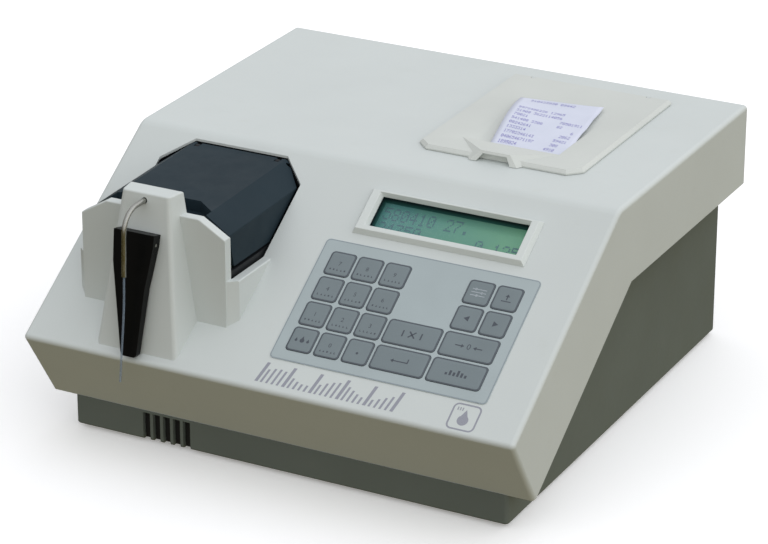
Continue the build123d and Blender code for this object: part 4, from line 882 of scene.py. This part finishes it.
# ================================================================ panel prints
FOIL_BOX = (-4.2, 24.1, 143.2, 115.8)      # the keypad foil, as low x, low s, high x, high s
FOIL_ROUND = 3.0
FOIL_SHADE_INSETS = (0.15, 0.75)           # insets of the painted shade band's outer and inner edge from the foil's own
FOIL_TOP = 0.53                    # heights over the panel: of the painted shade band on the foil,
PRINT_HEIGHT = 0.04                # and of what is printed on the casing itself
SCALE_LEFT, SCALE_FOOT = -6.0, 6.0
SCALE_BARS = 26
SCALE_PITCH = 3.7
SCALE_MAIN_EVERY = 5
SCALE_MAIN_BAR = (2.2, 14.5)       # width and height of every fifth bar
SCALE_BAR_WIDTH = 1.5
SCALE_BAR_HEIGHT = 8.0
SCALE_SWELL = 3.5                  # how much the heights rise and fall along the row
SCALE_SWELL_STEP = 0.55
SCALE_SLANT = 0.2
MARK_MIDDLE = (133.4, 13.0)
MARK_LOOPS = [(9.3, 3.6), (8.2, 2.5)]      # half width and corner radius of its outer and inner edge
MARK_DROPLET = 3.6
MARK_DROPLET_DROP = 2.2
MARK_TICKS = 3
MARK_TICK_PITCH = 1.6
MARK_TICK_CORNER = (-6.2, 4.2)     # lower left corner of the first tick, from the mark's middle
MARK_TICK_SIZE = (0.7, 2.2)


def make_foil_edge_shade():
    """A fine darker band round the keypad foil, just inside its edge: painted shade along its raised
    edge.
    """
    draw = Drawing(on_panel(FOIL_TOP))
    x_low, s_low, x_high, s_high = FOIL_BOX
    loops = []
    for inset in FOIL_SHADE_INSETS:
        loops.append(rounded_box(x_low + inset, s_low + inset, x_high - inset, s_high - inset,
                                 FOIL_ROUND - inset))
    draw.band(*loops)
    add_piece("foil_edge_shade_band", draw.finish("foil_edge_shade_band"), "case", [FOIL_EDGE_SHADE_LOOK], place=PANEL)


def make_panel_scale():
    """A plain row of slanted graduation bars under the keypad."""
    draw = Drawing(on_panel(PRINT_HEIGHT))
    for number in range(SCALE_BARS):
        width = SCALE_BAR_WIDTH
        height = SCALE_BAR_HEIGHT + SCALE_SWELL * math.sin(number * SCALE_SWELL_STEP)
        if number % SCALE_MAIN_EVERY == 0:
            width, height = SCALE_MAIN_BAR
        draw.bar(SCALE_LEFT + number * SCALE_PITCH, SCALE_FOOT, width, height, slant=SCALE_SLANT)
    add_piece("panel_scale", draw.finish("panel_scale"), "case", [MARK_LOOK], place=PANEL)


def make_panel_mark():
    """A rounded square with a droplet and three small ticks in it."""
    draw = Drawing(on_panel(PRINT_HEIGHT))
    x, s = MARK_MIDDLE
    loops = [rounded_box(x - half, s - half, x + half, s + half, radius) for half, radius in MARK_LOOPS]
    draw.band(*loops)
    draw_droplet(draw, x, s - MARK_DROPLET_DROP, MARK_DROPLET)
    left, foot = MARK_TICK_CORNER
    for number in range(MARK_TICKS):
        draw.bar(x + left + number * MARK_TICK_PITCH, s + foot, *MARK_TICK_SIZE)
    add_piece("panel_mark", draw.finish("panel_mark"), "case", [MARK_LOOK], place=PANEL)


# ================================================================ display
PICTURE_HEIGHT = -6.97
DOTS_HEIGHT = -6.93
CHARACTER_LEFT = 19.6
CHARACTER_PITCH = 6.15
DOT_PITCH = (1.025, 1.34)
DOT_SIZE = (0.9, 1.2)
# (top of the row, first column, numerals)
DISPLAY_ROWS = [(151.3, 0, "580410 27."), (140.2, 0, "24750"), (140.2, 11, "0.125")]


def make_display():
    """The lit picture and the dots of its numerals."""
    sheet = Drawing(on_panel(PICTURE_HEIGHT))
    x_low, s_low, x_high, s_high = PICTURE_BOX
    sheet.bar(x_low, s_low, x_high - x_low, s_high - s_low)
    add_piece("display_picture", sheet.finish("display_picture"), "case", [PICTURE_LOOK],
              place=PANEL)
    draw = Drawing(on_panel(DOTS_HEIGHT))
    for top, first, text in DISPLAY_ROWS:
        for number, sign in enumerate(text):
            x = CHARACTER_LEFT + (first + number) * CHARACTER_PITCH
            draw.dots(sign, x, top, DOT_PITCH, DOT_SIZE)
    add_piece("display_dots", draw.finish("display_dots"), "case", [DOTS_LOOK], place=PANEL)


# ================================================================ paper slip
SLIP_WIDTH = 57.0
SLIP_THICK = 0.12
SLIP_LEFT = 46.4                   # left edge at the slot
SLIP_EXIT = 212.0                  # how far behind the case's nose it comes free of the slot
SLIP_REACH = 78.0                  # how far back from there it reaches
SLIP_DRIFT = -9.0                  # how far it has moved sideways at the far end
SLIP_SKEW = 6.5                    # how much further the right edge reaches than the left
SLIP_SKEW_MIDDLE = 0.4             # the share of its width that the skew leaves in place
SLIP_BOW = 3.0                     # lift of the left edge half way along
SLIP_PINCH = 5.3                   # how far the left edge is drawn in at the slot
SLIP_RIPPLE = 0.3                  # waves along the right edge
SLIP_RIPPLE_PITCH = 24.0
SLIP_RIPPLE_RISE = 4               # the waves are full a quarter of the way back
# Side view of the slip's middle, from inside the slot to its far edge: (y, z) from the case's nose.
SLIP_PROFILE = [
    (208.0, 161.8), (208.0, 164.6), (208.9, 166.6), (211.5, 167.6), (218.0, 168.4), (226.0, 169.2),
    (235.0, 170.0), (245.0, 170.7), (258.0, 171.3), (270.0, 171.6), (280.0, 171.6), (290.0, 171.4),
]
SLIP_ROWS = 80
SLIP_COLUMNS = 16
# How far along the slip each point of its profile is, in millimetres.
SLIP_RUN = [0.0]
for lower, upper in zip(SLIP_PROFILE, SLIP_PROFILE[1:]):
    SLIP_RUN.append(SLIP_RUN[-1] + math.dist(lower, upper))
SLIP_LENGTH = SLIP_RUN[-1]


def slip_profile(along):
    """A point on a smooth line through the profile, at a distance along it from its lower end."""
    first = 0
    while first < len(SLIP_RUN) - 2 and along > SLIP_RUN[first + 1]:
        first += 1
    t = (along - SLIP_RUN[first]) / (SLIP_RUN[first + 1] - SLIP_RUN[first])
    last = len(SLIP_PROFILE) - 1
    numbers = [max(0, min(last, first + n)) for n in (-1, 0, 1, 2)]
    before, start, end, after = [Vector(SLIP_PROFILE[number]) for number in numbers]
    return 0.5 * (2 * start + (end - before) * t + (2 * before - 5 * start + 4 * end - after) * t * t
                  + (3 * start - before - 3 * end + after) * t ** 3)


def slip_point(across, along, lift=0.0):
    """A point on the slip: across from its left edge and along it from its lower end."""
    side = across / SLIP_WIDTH
    y, z = slip_profile(along)
    free = max(0.0, (y - SLIP_EXIT) / SLIP_REACH)
    z += SLIP_BOW * math.sin(math.pi * min(free, 1.0)) * (1 - side) ** 2
    wave = 1 + math.sin(2 * math.pi * (y - SLIP_EXIT) / SLIP_RIPPLE_PITCH)
    z += SLIP_RIPPLE * wave * side ** 6 * min(free * SLIP_RIPPLE_RISE, 1.0)
    y += SLIP_SKEW * (side - SLIP_SKEW_MIDDLE) * free ** 1.3
    x = SLIP_LEFT + across + SLIP_DRIFT * free ** 1.5
    x += SLIP_PINCH * (1 - side) * max(0.0, 1 - free) ** 1.5
    return (Vector((x, y, z + lift)) + CASE_SHIFT) * MM


def make_slip():
    """The paper slip, a thin sheet that curls out of the slot in the printer cover."""
    mesh = bmesh.new()
    sides = []
    for lift in (0.0, SLIP_THICK):
        grid = []
        for row in range(SLIP_ROWS + 1):
            along = SLIP_LENGTH * row / SLIP_ROWS
            grid.append([mesh.verts.new(slip_point(SLIP_WIDTH * n / SLIP_COLUMNS, along, lift))
                         for n in range(SLIP_COLUMNS + 1)])
        sides.append(grid)
    low, high = sides
    for row in range(SLIP_ROWS):
        for n in range(SLIP_COLUMNS):
            mesh.faces.new((high[row][n], high[row][n + 1], high[row + 1][n + 1], high[row + 1][n]))
            mesh.faces.new((low[row][n], low[row + 1][n], low[row + 1][n + 1], low[row][n + 1]))
        for n in (0, SLIP_COLUMNS):
            mesh.faces.new((low[row][n], low[row + 1][n], high[row + 1][n], high[row][n]))
    for row in (0, SLIP_ROWS):
        for n in range(SLIP_COLUMNS):
            mesh.faces.new((low[row][n], low[row][n + 1], high[row][n + 1], high[row][n]))
    bmesh.ops.recalc_face_normals(mesh, faces=mesh.faces)
    data = finished(mesh, "paper_slip")
    slip = add_piece("paper_slip", data, "cover", [LOOKS["paper"]], smooth=True)
    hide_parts("paper_strip")


PRINT_PITCH = 2.05                 # from one printed character to the next
PRINT_DOT = (0.33, 0.5)
PRINT_MARGIN = 4.5                 # from the slip's left edge
PRINT_LIFT = SLIP_THICK + 0.05     # over the slip's lower face
PRINT_HEADING = 4.0                # from the slip's far edge to the heading
PRINT_FIRST = 21.0                 # from the same edge to the first line under it
PRINT_STEP = 6.4                   # from one line to the next
# Printed groups of numerals: (line, where 0 is the heading, first column, how many numerals).
PRINT_GROUPS = [
    (0, 2, 9), (0, 12, 5), (1, 0, 10), (1, 11, 5), (2, 0, 5), (2, 6, 10), (3, 0, 5), (3, 16, 8),
    (4, 0, 6), (4, 7, 4), (4, 16, 2), (5, 0, 8), (5, 22, 1), (6, 0, 7), (6, 19, 4),
    (7, 0, 11), (7, 18, 5), (8, 0, 12), (8, 18, 3), (9, 0, 7), (9, 17, 4),
]


def make_print():
    """Rows of dot-matrix numerals printed on the slip."""
    draw = Drawing(lambda x, s: slip_point(x, s, PRINT_LIFT))
    for line, first, count in PRINT_GROUPS:
        drop = PRINT_FIRST + (line - 1) * PRINT_STEP if line else PRINT_HEADING
        for number in range(count):
            sign = chance.choice("0123456789")
            x = PRINT_MARGIN + (first + number) * PRINT_PITCH
            draw.dots(sign, x, SLIP_LENGTH - drop, PRINT_DOT, PRINT_DOT)
    add_piece("slip_print", draw.finish("slip_print"), "cover", [PRINT_LOOK])


# ================================================================ floor, light
FLOOR_SIZE = 14.0
FLOOR_GLOW = 0.24
FLOOR_COLOURS = ((0.90, 0.90, 0.90, 1), (0.93, 0.93, 0.93, 1))


def make_floor():
    """White paper under the object, lit a little from within so that it stays pale."""
    bpy.ops.mesh.primitive_plane_add(size=FLOOR_SIZE, location=(0, 0, 0))
    floor = bpy.context.object
    floor.name = "floor"
    look = Look("floor_paper", Roughness=0.9, Emission_Color=(1, 1, 1, 1), Emission_Strength=FLOOR_GLOW)
    cloud = look.noise(FLOOR_CLOUD_SCALE, detail=2.0)
    look.colour(look.mix(look.spread(cloud, 0.0, 1.0), *FLOOR_COLOURS))
    floor.data.materials.append(look.material)
    floor.visible_diffuse = False
    floor.visible_glossy = False


ZENITH_COLOUR = (1.04, 1.055, 1.095, 1)
HORIZON_COLOUR = (0.80, 0.78, 0.74, 1)
GROUND_COLOUR = (0.142, 0.114, 0.036, 1)
SKY_RISE = (0.05, 0.7)             # heights between which the horizon's colour turns into the zenith's
GROUND_EDGE = (-0.05, 0.10)        # heights between which the ground turns into the sky
SKY_LEAN = (0.45, 0.04, 0)         # how much brighter the sky is towards +x and +y


def make_world():
    """A wide soft sky, warmer near the horizon and brighter on the right, over a dark ground."""
    world = bpy.data.worlds.new("studio")
    bpy.context.scene.world = world
    world.use_nodes = True
    tree = world.node_tree
    direction = tree.nodes.new("ShaderNodeTexCoord").outputs["Generated"]
    height = tree.nodes.new("ShaderNodeSeparateXYZ")
    tree.links.new(direction, height.inputs[0])

    def graded(heights, first, second):
        low, high = heights
        share = tree.nodes.new("ShaderNodeMapRange")
        share.inputs["From Min"].default_value = low
        share.inputs["From Max"].default_value = high
        mix = tree.nodes.new("ShaderNodeMix")
        mix.data_type = "RGBA"
        for socket, value in ((6, first), (7, second)):
            if isinstance(value, bpy.types.NodeSocket):
                tree.links.new(value, mix.inputs[socket])
            else:
                mix.inputs[socket].default_value = value
        tree.links.new(height.outputs[2], share.inputs["Value"])
        tree.links.new(share.outputs[0], mix.inputs[0])
        return mix.outputs[2]

    sky = graded(SKY_RISE, HORIZON_COLOUR, ZENITH_COLOUR)
    colour = graded(GROUND_EDGE, GROUND_COLOUR, sky)
    lean = tree.nodes.new("ShaderNodeVectorMath")
    lean.operation = "DOT_PRODUCT"
    lean.inputs[1].default_value = SKY_LEAN
    strength = tree.nodes.new("ShaderNodeMath")
    strength.operation = "ADD"
    strength.inputs[1].default_value = 1.0
    background = tree.nodes["Background"]
    tree.links.new(direction, lean.inputs[0])
    tree.links.new(lean.outputs["Value"], strength.inputs[0])
    tree.links.new(strength.outputs[0], background.inputs["Strength"])
    tree.links.new(colour, background.inputs["Color"])


make_camera()
make_capillary(LOOKS["capillary"])
dress_nodes()
make_keys()
make_bay_gap_shade()
make_vent_shade_sheet()
make_foil_edge_shade()
make_panel_scale()
make_panel_mark()
make_display()
make_slip()
make_print()
make_floor()
make_world()
bpy.context.scene.view_settings.view_transform = "Standard"
